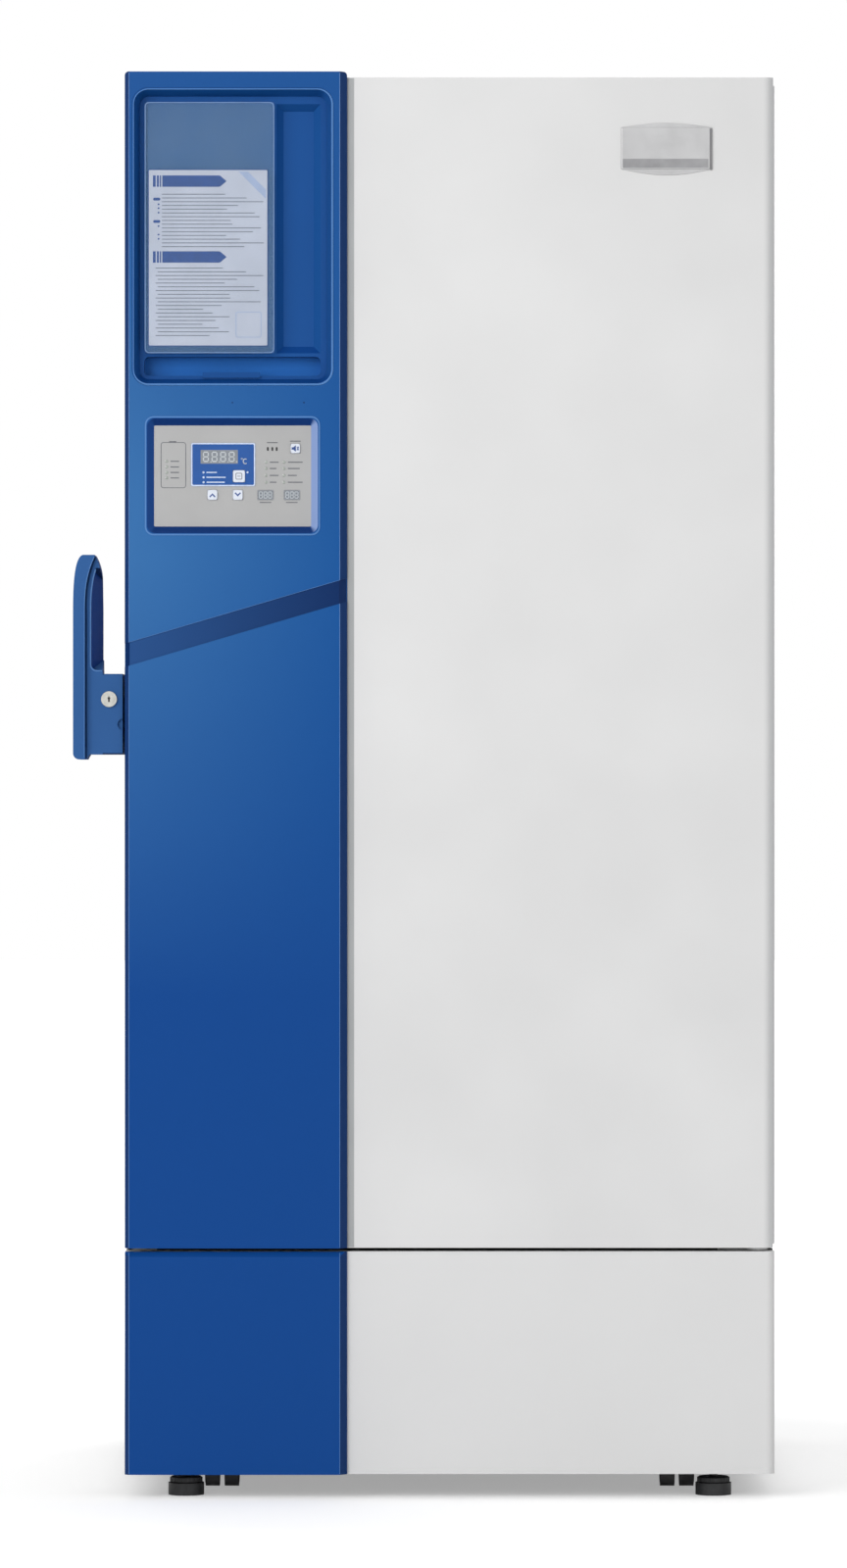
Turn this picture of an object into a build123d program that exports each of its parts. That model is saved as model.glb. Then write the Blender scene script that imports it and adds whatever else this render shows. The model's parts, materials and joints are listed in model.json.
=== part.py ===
from build123d import *
import math
import os

# Upright ultra-low-temperature freezer, in millimetres.
# While the pieces are made, x is 0 on the cabinet's middle plane, y is 0 on the white
# front of the door with the room at negative y, and z is 0 on the floor. placed() then
# moves every piece so that the origin is under the middle of the whole object.

# Cabinet
CABINET_W = 902.0
PANEL_TOP = 1973.0        # top of the white door
FASCIA_RISE = 7.0         # the blue fascia stands this much higher
SHELL_DROP = 8.0          # the cabinet's roof is this much lower than the door
SHELL_T = 1.5
SHELL_CORNER_R = 12.0
SHELL_BASE = 45.0         # lower edge of the side sheets
FLANGE_W = 40.0           # folded front edge of the side sheets
HEM_T = 3.0
FRAME_FIT = 0.5           # collar and front rail, from the folded edge
FOAM_BOTTOM = 350.0
WALL = 130.0              # insulated wall
CHAMBER_D = 620.0         # liner, from the collar to its back
LINER_T = 1.2
LINER_R = 15.0

# Port, inlet, cooling coil and vents in the cabinet
PORT_X = 250.0
PORT_Z = 1250.0
PORT_R = 15.0
COIL_Z = 14.0
COIL_Y = 7.0
COIL_PASSES = 4
COIL_HALF = 200.0
COIL_PITCH = 300.0
LOUVRE_ROWS = 6
LOUVRE_PITCH = 28.0
LOUVRE_H = 9.0
LOUVRE_L = 220.0
LOUVRE_IN = 110.0         # louvres' back ends, from the cabinet's back
LOUVRE_RISE = 25.0        # lowest louvre, above the deck
REAR_VENT_ROWS = 5
REAR_VENT_W = 240.0
REAR_VENT_GAP = 30.0
REAR_VENT_LEFT = 71.0     # first column, from the cabinet's left side
REAR_VENT_PITCH = 24.0
REAR_VENT_RISE = 20.0      # lowest slot, above the base
INLET_X = 300.0
INLET_Z = 260.0
INLET_R = 16.0

# Shelves
SHELF_COUNT = 3
SHELF_T = 1.5
SHELF_LIP = 18.0
PILASTER_T = 8.0
PILASTER_W = 20.0

# Door
DOOR_T = 105.0
DOOR_GAP = 12.0           # between the door's back and the cabinet
DOOR_BOTTOM = 348.0
EDGE_R = 12.0             # rounded front edges of the white door
FASCIA_W = 308.3
FASCIA_PROUD = 14.0
FASCIA_T = 3.0
LEFT_CHAMFER = 6.0
RIGHT_CHAMFER = 10.0
FASCIA_CORNER_R = 5.0     # upper corners
HINGE_INSET_X = 25.0      # hinge axis, from the cabinet's right side
HINGE_INSET_Y = 25.0      # and behind the white front
HINGE_PIN_R = 7.0
RUN = 0.05                # radial clearance of a pin or shaft
SEAT = 0.3                # clearance between parts that move past each other
GASKET_W = 24.0
GASKET_INSET = 33.0       # gasket's outer edge, from the cabinet's side
GASKET_CLEAR = 0.4
PLUG_PROUD = 8.0          # raised middle of the door's back
PLUG_CORNER = 8.0
BUSH_HALF = 12.0
FLANGE_BACK = 25.0
DOOR_LINER_T = 2.0

# Stripe across the fascia
STRIPE_H = 32.6
STRIPE_GROOVE = 2.0
STRIPE_T = 1.0

# Collar around the chamber and the two inner doors
COLLAR_T = 3.0
RECESS_MARGIN = 28.0
RECESS_D = 55.0
MULLION_H = 50.0
MULLION_D = 28.0
INNER_T = 40.0
INNER_JAMB = 5.0
INNER_SET = 8.0           # inner doors' front, behind the cabinet's front
INNER_PIN_R = 4.0
INNER_PIN_L = 12.0
INNER_AXIS_IN = 5.0       # hinge axis, from the inner door's right and front faces
INNER_SKIN = 8.0
INNER_RIM = 25.0
INNER_GASKET_W = 12.0

# Lower panel
LOWER_BOTTOM = 34.0
LOWER_GAP = 5.0
LOWER_DEPTH = 30.0

# Document tray
TRAY_LEFT = 12.8          # from the cabinet's left side
TRAY_W = 273.8
TRAY_TOP = 25.1           # from the fascia's top
TRAY_H = 407.6
TRAY_R = 20.0
TRAY_D = 26.0
TRAY_WALL = 2.5
TRAY_DRAFT = 16.0
CHANNEL_W = 48.0
CHANNEL_D = 10.0
PEN_H = 26.5
PEN_W = 244.7
PEN_R = 7.0
PEN_D = 26.0
PEN_LIP_W = 80.0
POCKET_W = 180.2
POCKET_H = 349.0
POCKET_T = 2.0
POCKET_BACK = 10.0        # behind the fascia's front

# Control panel
BEZEL_LEFT = 30.1
BEZEL_W = 238.8
BEZEL_TOP = 480.1
BEZEL_H = 161.1
BEZEL_R = 10.0
BEZEL_RIM = 10.5
BEZEL_D = 9.0
BEZEL_PROUD = 0.8         # rim of the bezel, in front of the fascia
FACE_T = 2.0
LENS_T = 1.2
BOARD_T = 1.6
BUTTON_TRAVEL = 0.8
BUTTON_GAP = 0.35
FACE_LEDGE = 3.0
LENS_W = 89.2
LENS_H = 60.2
LENS_X = 51.2             # lens, from the faceplate's left edge
LENS_TOP = 24.1           # and from its top edge
BUTTONS = {
    # across and down from the faceplate's top left corner, and size
    "button_set": (117.7, 70.4, 16.4),
    "button_up": (80.9, 96.3, 13.4),
    "button_down": (116.1, 96.3, 13.4),
    "button_mute": (195.9, 31.9, 12.9),
}

# Handle
HANDLE_REACH = 72.0       # lever's outer face, from the cabinet's left side
STRIP_W = 16.5            # front strip
STRIP_BEVEL = 4.0
GROOVE_W = 2.5            # groove beside the strip
GROOVE_D = 4.0
SCOOP_RIM = 5.0           # between the groove and the hollow
NOTCH_R = 8.0
NOTCH_D = 4.0
LEVER_W = 41.0
LEVER_FRONT = -8.0
LEVER_BACK = 62.0
LEVER_TOP = 1310.0
LEVER_BOTTOM = 1026.0
BLOCK_TOP = 1145.0
BLOCK_BOTTOM = 1033.0
BLOCK_FRONT = 2.0
BLOCK_BACK = 100.0
BLOCK_GAP = 3.5
PIVOT_Y = 55.0
PIVOT_Z = 1089.0
SHAFT_R = 12.0
SHAFT_L = 20.0
LOCK_X = 22.2             # lock axis, from the cabinet's left side
LOCK_Z = 1109.8
LOCK_R = 10.9
PLUG_R = 7.5
LOCK_DEPTH = 9.0
LOCK_PROUD = 4.0

# Hinges and latch
HINGE_ARM = 60.0
HINGE_PLATE_T = 5.0
NOTCH_FRONT = 5.0
NOTCH_GAP = 3.0
LOWER_PLATE_T = 6.0
HINGE_PIN_L = 38.0
STRIKE_Y = 140.0
STRIKE_R = 5.0
STRIKE_T = 3.0

# Base, feet and casters
FRAME_BOTTOM = 85.0
RAIL = 40.0
RAIL_IN = 131.0           # rails' middles, from the cabinet's sides
CASTER_Y = 135.0
CASTER_TRAIL = 18.0
REAR_CASTER_Y = 850.0
WHEEL_R = 28.0
WHEEL_W = 20.0           # each tread of a front wheel
REAR_WHEEL_W = 28.0
WEB_T = 5.0
WHEEL_SIDE = 1.0
WHEEL_LIFT = 3.0          # the front wheels hang this much above the floor
AXLE_R = 4.0
STEM_R = 5.0
FOOT_IN = 83.0            # feet, from the cabinet's sides
FOOT_SET = 0.75           # and behind the front member's face
FOOT_R = 25.0
FOOT_STEM_R = 6.0
FOOT_PAD_H = 17.0
CHEEK_T = 3.0

# Machine compartment
CONDENSER_LEFT = -300.0
CONDENSER_RIGHT = 150.0
CONDENSER_BOTTOM = 130.0
CONDENSER_TOP = 318.0
CONDENSER_Y = 90.0
CONDENSER_T = 60.0
FAN_R = 84.0
FAN_CLEAR = 6.0
FAN_BLADES = 5
COMPRESSOR_R = 85.0
COMPRESSOR_H = 180.0
SPACER_D = 45.0           # wall stand-offs
SPACER_W = 60.0
SPACER_H = 150.0
SPACER_BEVEL = 30.0
SPACER_IN = 110.0         # their middles, from the cabinet's sides
SPACER_DROP = 80.0        # their tops, under the cabinet's roof
SHROUD_T = 34.0
MOTOR_R = 36.0
FAN_SHAFT_R = 4.0
FILTER_T = 16.0
COMPRESSOR_X = 190.0
COMPRESSOR_Y = 520.0
TUBE_R = 7.0
TUBE_RISE = 90.0           # height of the tubes above the base
EXCHANGER_W = 140.0
EXCHANGER_D = 90.0
EXCHANGER_H = 195.0
EXCHANGER_IN = 175.0       # front of the heat exchanger, in from the cabinet's back
LIQUID_RUN = 140.0         # liquid tube's run to the front of the compressors
LIQUID_GAP = 28.0          # liquid tube beside the condenser
LIQUID_IN = 20.0           # its end, in from the condenser's back
BOX_LEFT = 190.0
BOX_RIGHT = 390.0
BOX_D = 190.0
BOX_TOP = 305.0
ROCKER_X = 330.0
ROCKER_Z = 262.0
ROCKER_W = 22.0
ROCKER_H = 30.0

# Places that follow from the sizes above
HALF = CABINET_W / 2
OVERALL_H = PANEL_TOP + FASCIA_RISE
SHELL_TOP = PANEL_TOP - SHELL_DROP
CAB_FRONT = DOOR_T + DOOR_GAP
LAND_BACK = CAB_FRONT + COLLAR_T
CHAMBER_HALF = HALF - WALL - LINER_T
RECESS_HALF = CHAMBER_HALF + RECESS_MARGIN
CHAMBER_BOTTOM = FOAM_BOTTOM + WALL
CHAMBER_TOP = SHELL_TOP - WALL
RECESS_BACK = CAB_FRONT + RECESS_D
CHAMBER_FRONT = RECESS_BACK + COLLAR_T
CHAMBER_BACK = CHAMBER_FRONT + CHAMBER_D
CAB_BACK = CHAMBER_BACK + WALL
CHAMBER_MID = (CHAMBER_BOTTOM + CHAMBER_TOP) / 2
HINGE_X = HALF - HINGE_INSET_X
HINGE_Y = HINGE_INSET_Y
FASCIA_FRONT = -FASCIA_PROUD
FASCIA_RIGHT = -HALF + FASCIA_W
HANDLE_X = -HALF - HANDLE_REACH
LOWER_TOP = DOOR_BOTTOM - LOWER_GAP
INNER_HALF = RECESS_HALF - INNER_JAMB
INNER_FRONT = CAB_FRONT + INNER_SET
INNER_BACK = INNER_FRONT + INNER_T
INNER_AXIS_X = INNER_HALF - INNER_AXIS_IN
INNER_AXIS_Y = INNER_FRONT + INNER_AXIS_IN
FRAME_TOP = FRAME_BOTTOM + RAIL
RAIL_X = HALF - RAIL_IN
FOOT_X = HALF - FOOT_IN
REAR_END = CAB_BACK + SHELL_T + SPACER_D
SHELF_FRONT = RECESS_BACK + MULLION_D + 6.0
SHELF_BACK = CHAMBER_BACK - 15.0
MEMBER_FRONT = HINGE_Y + HINGE_INSET_X * 1.45   # clear of the lower panel's swinging edge
FOOT_Y = MEMBER_FRONT + FOOT_SET
CONDENSER_BACK = CONDENSER_Y + CONDENSER_T
FAN_X = (CONDENSER_LEFT + CONDENSER_RIGHT) / 2
FAN_Z = (CONDENSER_BOTTOM + CONDENSER_TOP) / 2
SHROUD_Y = CONDENSER_BACK + 2.0
FILTER_Y = CONDENSER_Y - FILTER_T - 3.0
BOX_Y = CAB_FRONT + 34.0
NOTCH_SIDE = HINGE_ARM + 6.0
LOWER_PLATE_Z = LOWER_TOP + 1.5
STRIKE_Z = PIVOT_Z - 9.0
DOOR_LINER_Y = DOOR_T - SHELL_T - DOOR_LINER_T
STRIPE_LEFT = OVERALL_H - 793.5   # top edge of the stripe, at the fascia's left side
STRIPE_RIGHT = OVERALL_H - 702.0  # and at its right side
TRAY_DRAFT_TAN = math.tan(math.radians(TRAY_DRAFT))
LEVER_STEP = BLOCK_FRONT
X_SHIFT = -(HANDLE_X + HALF) / 2
Y_SHIFT = -(FASCIA_FRONT - BEZEL_PROUD + REAR_END) / 2


def placed(shape):
    """Move a shape from the modelling frame to the part's own frame."""
    return Pos(X_SHIFT, Y_SHIFT, 0) * shape


def block(x0, x1, y0, y1, z0, z1):
    """A box between two corners."""
    return Pos((x0 + x1) / 2, (y0 + y1) / 2, (z0 + z1) / 2) * Box(x1 - x0, y1 - y0, z1 - z0)


def slab(sketch, y_front, y_back, taper=0):
    """Extrude a front view from its back plane to its front; a negative taper widens it."""
    return extrude(Plane.XZ.offset(-y_back) * sketch, amount=y_back - y_front, taper=taper)


def column(sketch, z0, z1):
    """Extrude a plan view upwards."""
    return extrude(Pos(0, 0, z0) * sketch, amount=z1 - z0)


def side(sketch, x0, x1):
    """Extrude a side view, drawn in y and z, along x."""
    return extrude(Plane.YZ.offset(x0) * sketch, amount=x1 - x0)


def rect(x0, x1, z0, z1, r=0):
    """A front-view rectangle, with rounded corners where r is given."""
    shape = RectangleRounded(x1 - x0, z1 - z0, r) if r else Rectangle(x1 - x0, z1 - z0)
    return Pos((x0 + x1) / 2, (z0 + z1) / 2) * shape


def face(points):
    """A flat outline through points, closed."""
    return make_face(Polyline(*points, close=True))


def rod_x(x0, x1, y, z, r):
    return Pos((x0 + x1) / 2, y, z) * Rot(0, 90, 0) * Cylinder(r, x1 - x0)


def rod_y(x, y0, y1, z, r):
    return Pos(x, (y0 + y1) / 2, z) * Rot(90, 0, 0) * Cylinder(r, y1 - y0)


def rod_z(x, y, z0, z1, r):
    return Pos(x, y, (z0 + z1) / 2) * Cylinder(r, z1 - z0)


def drum(r, z0, z1, flats=36):
    """An upright round piece with many small flats, for what shows little."""
    return Pos(0, 0, z0) * extrude(RegularPolygon(r, flats), amount=z1 - z0)


def drum_x(x0, x1, y, z, r):
    return Pos(x0, y, z) * Rot(0, 90, 0) * drum(r, 0, x1 - x0)


def drum_y(x, y0, y1, z, r):
    return Pos(x, y0, z) * Rot(-90, 0, 0) * drum(r, 0, y1 - y0)


# Insulated cabinet

def arch(half, z0, z1, r):
    """A front view with square lower corners and rounded upper ones."""
    shape = Pos(0, (z0 + z1) / 2) * Rectangle(2 * half, z1 - z0)
    return fillet(shape.vertices().group_by(Axis.Y)[-1], r)


def side_louvres():
    """Slots in the side sheets beside the compressors."""
    y1 = CAB_BACK - LOUVRE_IN
    first = FRAME_TOP + LOUVRE_RISE
    slots = []
    for i in range(LOUVRE_ROWS):
        z = first + i * LOUVRE_PITCH
        slots.append(block(-HALF - 1, HALF + 1, y1 - LOUVRE_L, y1, z, z + LOUVRE_H))
    return slots


def outer_shell():
    outer = slab(arch(HALF, SHELL_BASE, SHELL_TOP, SHELL_CORNER_R), CAB_FRONT, CAB_BACK)
    hollow = arch(HALF - SHELL_T, SHELL_BASE - 1, SHELL_TOP - SHELL_T, SHELL_CORNER_R - SHELL_T)
    window = rect(-HALF + FLANGE_W, HALF - FLANGE_W, SHELL_BASE - 1, SHELL_TOP - FLANGE_W)
    shell = outer - slab(hollow, CAB_FRONT + HEM_T, CAB_BACK + 1)
    shell -= slab(window, CAB_FRONT - 1, CAB_FRONT + HEM_T + 1)
    return shell - side_louvres()


def evaporator_coil():
    """Flat tube, back and forth behind the chamber."""
    y0 = CHAMBER_BACK + LINER_T
    first = CHAMBER_MID - COIL_PITCH * (COIL_PASSES - 1) / 2
    coil = None
    for i in range(COIL_PASSES):
        z = first + i * COIL_PITCH
        run = block(-COIL_HALF, COIL_HALF, y0, y0 + COIL_Y, z, z + COIL_Z)
        coil = run if coil is None else coil + run
        if i < COIL_PASSES - 1:
            x = COIL_HALF - COIL_Z if i % 2 == 0 else -COIL_HALF
            coil += block(x, x + COIL_Z, y0, y0 + COIL_Y, z, z + COIL_PITCH + COIL_Z)
    return coil


def foam_insulation():
    body = slab(arch(HALF - SHELL_T, FOAM_BOTTOM, SHELL_TOP - SHELL_T, SHELL_CORNER_R - SHELL_T),
                LAND_BACK, CAB_BACK)
    wall = COLLAR_T
    recess = rect(-RECESS_HALF - wall, RECESS_HALF + wall, CHAMBER_BOTTOM - RECESS_MARGIN - wall,
                  CHAMBER_TOP + RECESS_MARGIN + wall)
    chamber = rect(-CHAMBER_HALF - LINER_T, CHAMBER_HALF + LINER_T, CHAMBER_BOTTOM - LINER_T,
                   CHAMBER_TOP + LINER_T, LINER_R + LINER_T)
    body -= slab(recess, LAND_BACK - 1, CHAMBER_FRONT)
    body -= slab(chamber, CHAMBER_FRONT - 1, CHAMBER_BACK + LINER_T)
    body -= evaporator_coil()
    return body - rod_y(PORT_X, CHAMBER_BACK, CAB_BACK + 1, PORT_Z, PORT_R)


def inner_liner():
    outer = rect(-CHAMBER_HALF - LINER_T, CHAMBER_HALF + LINER_T, CHAMBER_BOTTOM - LINER_T,
                 CHAMBER_TOP + LINER_T, LINER_R + LINER_T)
    inside = rect(-CHAMBER_HALF, CHAMBER_HALF, CHAMBER_BOTTOM, CHAMBER_TOP, LINER_R)
    liner = slab(outer, CHAMBER_FRONT, CHAMBER_BACK + LINER_T)
    liner -= slab(inside, CHAMBER_FRONT - 1, CHAMBER_BACK)
    return liner - rod_y(PORT_X, CHAMBER_BACK - 1, CAB_BACK, PORT_Z, PORT_R)


def front_collar():
    """Moulded breaker strip: sealing land, stepped recess and a bar between the inner doors."""
    edge = HALF - FLANGE_W - FRAME_FIT
    t = COLLAR_T
    low, high = CHAMBER_BOTTOM - RECESS_MARGIN, CHAMBER_TOP + RECESS_MARGIN
    land = slab(rect(-edge, edge, FOAM_BOTTOM + 1, SHELL_TOP - FLANGE_W - FRAME_FIT), CAB_FRONT, LAND_BACK)
    tub = slab(rect(-RECESS_HALF - t, RECESS_HALF + t, low - t, high + t),
               CAB_FRONT, CHAMBER_FRONT)
    collar = land + tub
    collar -= slab(rect(-RECESS_HALF, RECESS_HALF, low, high), CAB_FRONT - 1, RECESS_BACK)
    collar -= slab(rect(-CHAMBER_HALF, CHAMBER_HALF, CHAMBER_BOTTOM, CHAMBER_TOP, LINER_R),
                   RECESS_BACK - 1, CHAMBER_FRONT + 1)
    bar = block(-CHAMBER_HALF, CHAMBER_HALF, RECESS_BACK, RECESS_BACK + MULLION_D,
                CHAMBER_MID - MULLION_H / 2, CHAMBER_MID + MULLION_H / 2)
    return collar + bar


def rear_panel():
    """Back sheet, with louvre slots over the machine compartment and a hole for the port."""
    y0, y1 = CAB_BACK, CAB_BACK + SHELL_T
    panel = slab(arch(HALF, SHELL_BASE, SHELL_TOP, SHELL_CORNER_R), y0, y1)
    for i in range(REAR_VENT_ROWS):
        z = FRAME_TOP + REAR_VENT_RISE + i * REAR_VENT_PITCH
        for column_index in range(2):
            x0 = -HALF + REAR_VENT_LEFT + column_index * (REAR_VENT_W + REAR_VENT_GAP)
            panel -= block(x0, x0 + REAR_VENT_W, y0 - 1, y1 + 1, z, z + REAR_VENT_PITCH / 3)
    panel -= rod_y(PORT_X, y0 - 1, y1 + 1, PORT_Z, PORT_R)
    return panel - rod_y(INLET_X, y0 - 1, y1 + 1, INLET_Z, INLET_R)


def power_inlet():
    """Gland where the mains lead enters the back sheet."""
    y1 = CAB_BACK + SHELL_T
    gland = slab(Pos(INLET_X, INLET_Z) * RegularPolygon(INLET_R - 1.0, 8), CAB_BACK - 18.0, y1 + 8.0)
    gland += slab(Pos(INLET_X, INLET_Z) * RegularPolygon(INLET_R + 6.0, 6), y1, y1 + 8.0)
    gland += slab(Pos(INLET_X, INLET_Z) * RegularPolygon(INLET_R, 6), y1 + 8.0, y1 + 20.0)
    return gland - rod_y(INLET_X, CAB_BACK - 20.0, y1 + 21.0, INLET_Z, 5.5)


def rear_fittings():
    """Rubber plug of the access port, and the two stand-offs that keep the cabinet off a wall."""
    y1 = CAB_BACK + SHELL_T
    plug = rod_y(PORT_X, CHAMBER_BACK + LINER_T, y1, PORT_Z, PORT_R - 0.1)
    parts = [plug + rod_y(PORT_X, y1, y1 + 8.0, PORT_Z, PORT_R + 9.0)]
    z1 = SHELL_TOP - SPACER_DROP
    z0 = z1 - SPACER_H
    wedge = face([(y1, z0), (REAR_END, z0 + SPACER_BEVEL), (REAR_END, z1 - SPACER_BEVEL), (y1, z1)])
    for x in (-HALF + SPACER_IN, HALF - SPACER_IN):
        parts.append(side(wedge, x - SPACER_W / 2, x + SPACER_W / 2))
    return Compound(children=parts)


# Shelves

def shelf_levels():
    step = (CHAMBER_TOP - CHAMBER_BOTTOM) / (SHELF_COUNT + 1)
    return [CHAMBER_BOTTOM + step * (i + 1) for i in range(SHELF_COUNT)]


def shelves():
    """Folded steel shelves, each a shallow tray turned upside down."""
    half = CHAMBER_HALF - PILASTER_T - 2.0
    parts = []
    for z in shelf_levels():
        tray = block(-half, half, SHELF_FRONT, SHELF_BACK, z - SHELF_LIP, z)
        tray -= block(-half + SHELF_T, half - SHELF_T, SHELF_FRONT + SHELF_T, SHELF_BACK - SHELF_T,
                      z - SHELF_LIP - 1, z - SHELF_T)
        parts.append(tray)
    return Compound(children=parts)


def shelf_supports():
    """Slotted uprights on the chamber's side walls, with the clips that carry the shelves."""
    slots, parts = 5, []
    z0, z1 = CHAMBER_BOTTOM + LINER_R, CHAMBER_TOP - LINER_R
    pitch = (z1 - z0) / slots
    for sign in (-1, 1):
        wall = sign * CHAMBER_HALF
        near = wall - sign * PILASTER_T
        x0, x1 = min(wall, near), max(wall, near)
        for y in (SHELF_FRONT + 40.0, SHELF_BACK - 60.0):
            upright = block(x0, x1, y, y + PILASTER_W, z0, z1)
            cut = sorted((near - sign, near + sign * 4.0))
            for i in range(slots):
                z = z0 + (i + 0.5) * pitch
                upright -= block(cut[0], cut[1], y + 7.0, y + 13.0, z, z + 22.0)
            for level in shelf_levels():
                tip = near - sign * 16.0
                upright += block(min(near, tip), max(near, tip), y + 4.0, y + 16.0,
                                 level - SHELF_LIP - 10.0, level - SHELF_LIP)
            parts.append(upright)
    return Compound(children=parts)


# Base frame, feet and casters

def base_frame():
    """Welded rails, deck, posts and the top rails that carry the insulated box."""
    top = FRAME_TOP
    inner = HALF - SHELL_T
    post = 24.0
    frame = block(-inner, inner, CAB_FRONT + HEM_T, CAB_BACK, top - 3.0, top)
    frame += block(-HALF, HALF, MEMBER_FRONT, CAB_FRONT - 15.0, FRAME_BOTTOM, top)
    for x0, y0 in ((-HALF, LOWER_DEPTH + SEAT), (HALF - CHEEK_T, MEMBER_FRONT)):
        frame += block(x0, x0 + CHEEK_T, y0, CAB_FRONT, SHELL_BASE, LOWER_TOP)
    frame += block(-inner + post, inner - post, CAB_BACK - RAIL, CAB_BACK, FRAME_BOTTOM, top)
    for sign in (-1, 1):
        x = sign * RAIL_X
        frame += block(x - RAIL / 2, x + RAIL / 2, MEMBER_FRONT, CAB_BACK, FRAME_BOTTOM, top)
        x0, x1 = sorted((sign * inner, sign * (inner - post)))
        for y0, y1 in ((CAB_FRONT + HEM_T, CAB_FRONT + 34.0), (CAB_BACK - 30.0, CAB_BACK)):
            frame += block(x0, x1, y0, y1, top, FOAM_BOTTOM)
        frame += block(x0, x1, CAB_FRONT + HEM_T, CAB_BACK, FOAM_BOTTOM - post, FOAM_BOTTOM)
        frame -= rod_z(sign * RAIL_X, CASTER_Y, FRAME_BOTTOM - 1, top - 3.0, STEM_R + RUN)
        frame -= rod_z(sign * FOOT_X, FOOT_Y, FRAME_BOTTOM - 1, top + 1, FOOT_STEM_R + RUN)
    window = HALF - FLANGE_W - FRAME_FIT
    frame += block(-window, window, CAB_FRONT, CAB_FRONT + HEM_T, FOAM_BOTTOM - post, FOAM_BOTTOM)
    frame += block(-inner, inner, CAB_FRONT + HEM_T, CAB_FRONT + post + HEM_T,
                   FOAM_BOTTOM - post, FOAM_BOTTOM)
    return frame + panel_arm()


def panel_arm():
    """Swan-neck arm that carries the lower panel's bottom pin."""
    z0 = LOWER_BOTTOM + 3.0
    z1 = z0 + 4.0
    y_frame = MEMBER_FRONT
    arm = column(Pos(HINGE_X, HINGE_Y) * Circle(9.0), z0, z1)
    arm += column(face([(HINGE_X, HINGE_Y - 9.0), (HINGE_X, HINGE_Y + 9.0), (HINGE_X - 28.0, y_frame),
                        (HINGE_X - 50.0, y_frame), (HINGE_X - 50.0, HINGE_Y - 9.0)]), z0, z1)
    riser = block(HINGE_X - 50.0, HINGE_X - 28.0, y_frame - 5.0, y_frame, z0, FRAME_BOTTOM + 25.0)
    pin = rod_z(HINGE_X, HINGE_Y, LOWER_BOTTOM - 1.5, z0, INNER_PIN_R)
    return arm + riser + pin


def levelling_foot(sign):
    """Threaded stem with a round pad."""
    r = FOOT_R
    foot = rod_z(0, 0, 0, FOOT_PAD_H, r) + rod_z(0, 0, FOOT_PAD_H, FRAME_TOP - 5.0, FOOT_STEM_R)
    nut = Pos(0, 0, FOOT_PAD_H) * extrude(RegularPolygon(11.0, 6), amount=9.0)
    return Pos(sign * FOOT_X, FOOT_Y, 0) * (foot + nut)


def caster_web(y_stem, y_axle, z_axle, z_top):
    """Web between the two wheels, from the head down to the axle."""
    outline = face([(y_stem - 16.0, z_top), (y_stem + 20.0, z_top), (y_axle + 9.0, z_axle + 3.0),
                    (y_axle + 5.0, z_axle - 8.0), (y_axle - 5.0, z_axle - 8.0),
                    (y_axle - 12.0, z_axle + 6.0)])
    return side(outline, -WEB_T / 2, WEB_T / 2)


def caster_fork(sign):
    """Swivel head, stem and web of a front caster."""
    z_axle = WHEEL_R + WHEEL_LIFT
    head_z = z_axle + WHEEL_R + 5.0
    fork = block(-18.0, 18.0, CASTER_Y - 18.0, CASTER_Y + 18.0, head_z, FRAME_BOTTOM - 1.5)
    fork += rod_z(0, CASTER_Y, FRAME_BOTTOM - 1.5, FRAME_TOP - 5.0, STEM_R)
    fork += caster_web(CASTER_Y, CASTER_Y + CASTER_TRAIL, z_axle, head_z + 2.0)
    fork -= rod_x(-WEB_T, WEB_T, CASTER_Y + CASTER_TRAIL, z_axle, AXLE_R + RUN)
    return Pos(sign * RAIL_X, 0, 0) * fork


def rear_caster_forks():
    """Fixed forks under the back of the rails."""
    z_axle = WHEEL_R
    near = REAR_WHEEL_W / 2 + WHEEL_SIDE + WEB_T / 2
    parts = []
    for sign in (-1, 1):
        fork = block(-26.0, 26.0, REAR_CASTER_Y - 30.0, REAR_CASTER_Y + 30.0,
                     FRAME_BOTTOM - 4.0, FRAME_BOTTOM)
        web = caster_web(REAR_CASTER_Y, REAR_CASTER_Y, z_axle, FRAME_BOTTOM - 4.0)
        fork = fork + Pos(-near, 0, 0) * web + Pos(near, 0, 0) * web
        fork -= rod_x(-30, 30, REAR_CASTER_Y, z_axle, AXLE_R + RUN)
        parts.append(Pos(sign * RAIL_X, 0, 0) * fork)
    return Compound(children=parts)


def front_wheel(sign):
    """Two treads on one axle, with the fork's web between them."""
    y, z = CASTER_Y + CASTER_TRAIL, WHEEL_R + WHEEL_LIFT
    inner = WEB_T / 2 + WHEEL_SIDE
    wheel = rod_x(-inner, inner, y, z, AXLE_R)
    wheel += drum_x(-inner - WHEEL_W, -inner, y, z, WHEEL_R)
    wheel += drum_x(inner, inner + WHEEL_W, y, z, WHEEL_R)
    return Pos(sign * RAIL_X, 0, 0) * wheel


def rear_wheel(sign):
    """One wide tread, with its axle in both cheeks of the fork."""
    half = REAR_WHEEL_W / 2
    wheel = rod_x(-half, half, REAR_CASTER_Y, WHEEL_R, WHEEL_R)
    wheel += rod_x(-half - WHEEL_SIDE - WEB_T, half + WHEEL_SIDE + WEB_T, REAR_CASTER_Y, WHEEL_R, AXLE_R)
    return Pos(sign * RAIL_X, 0, 0) * wheel


# Machine compartment

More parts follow.
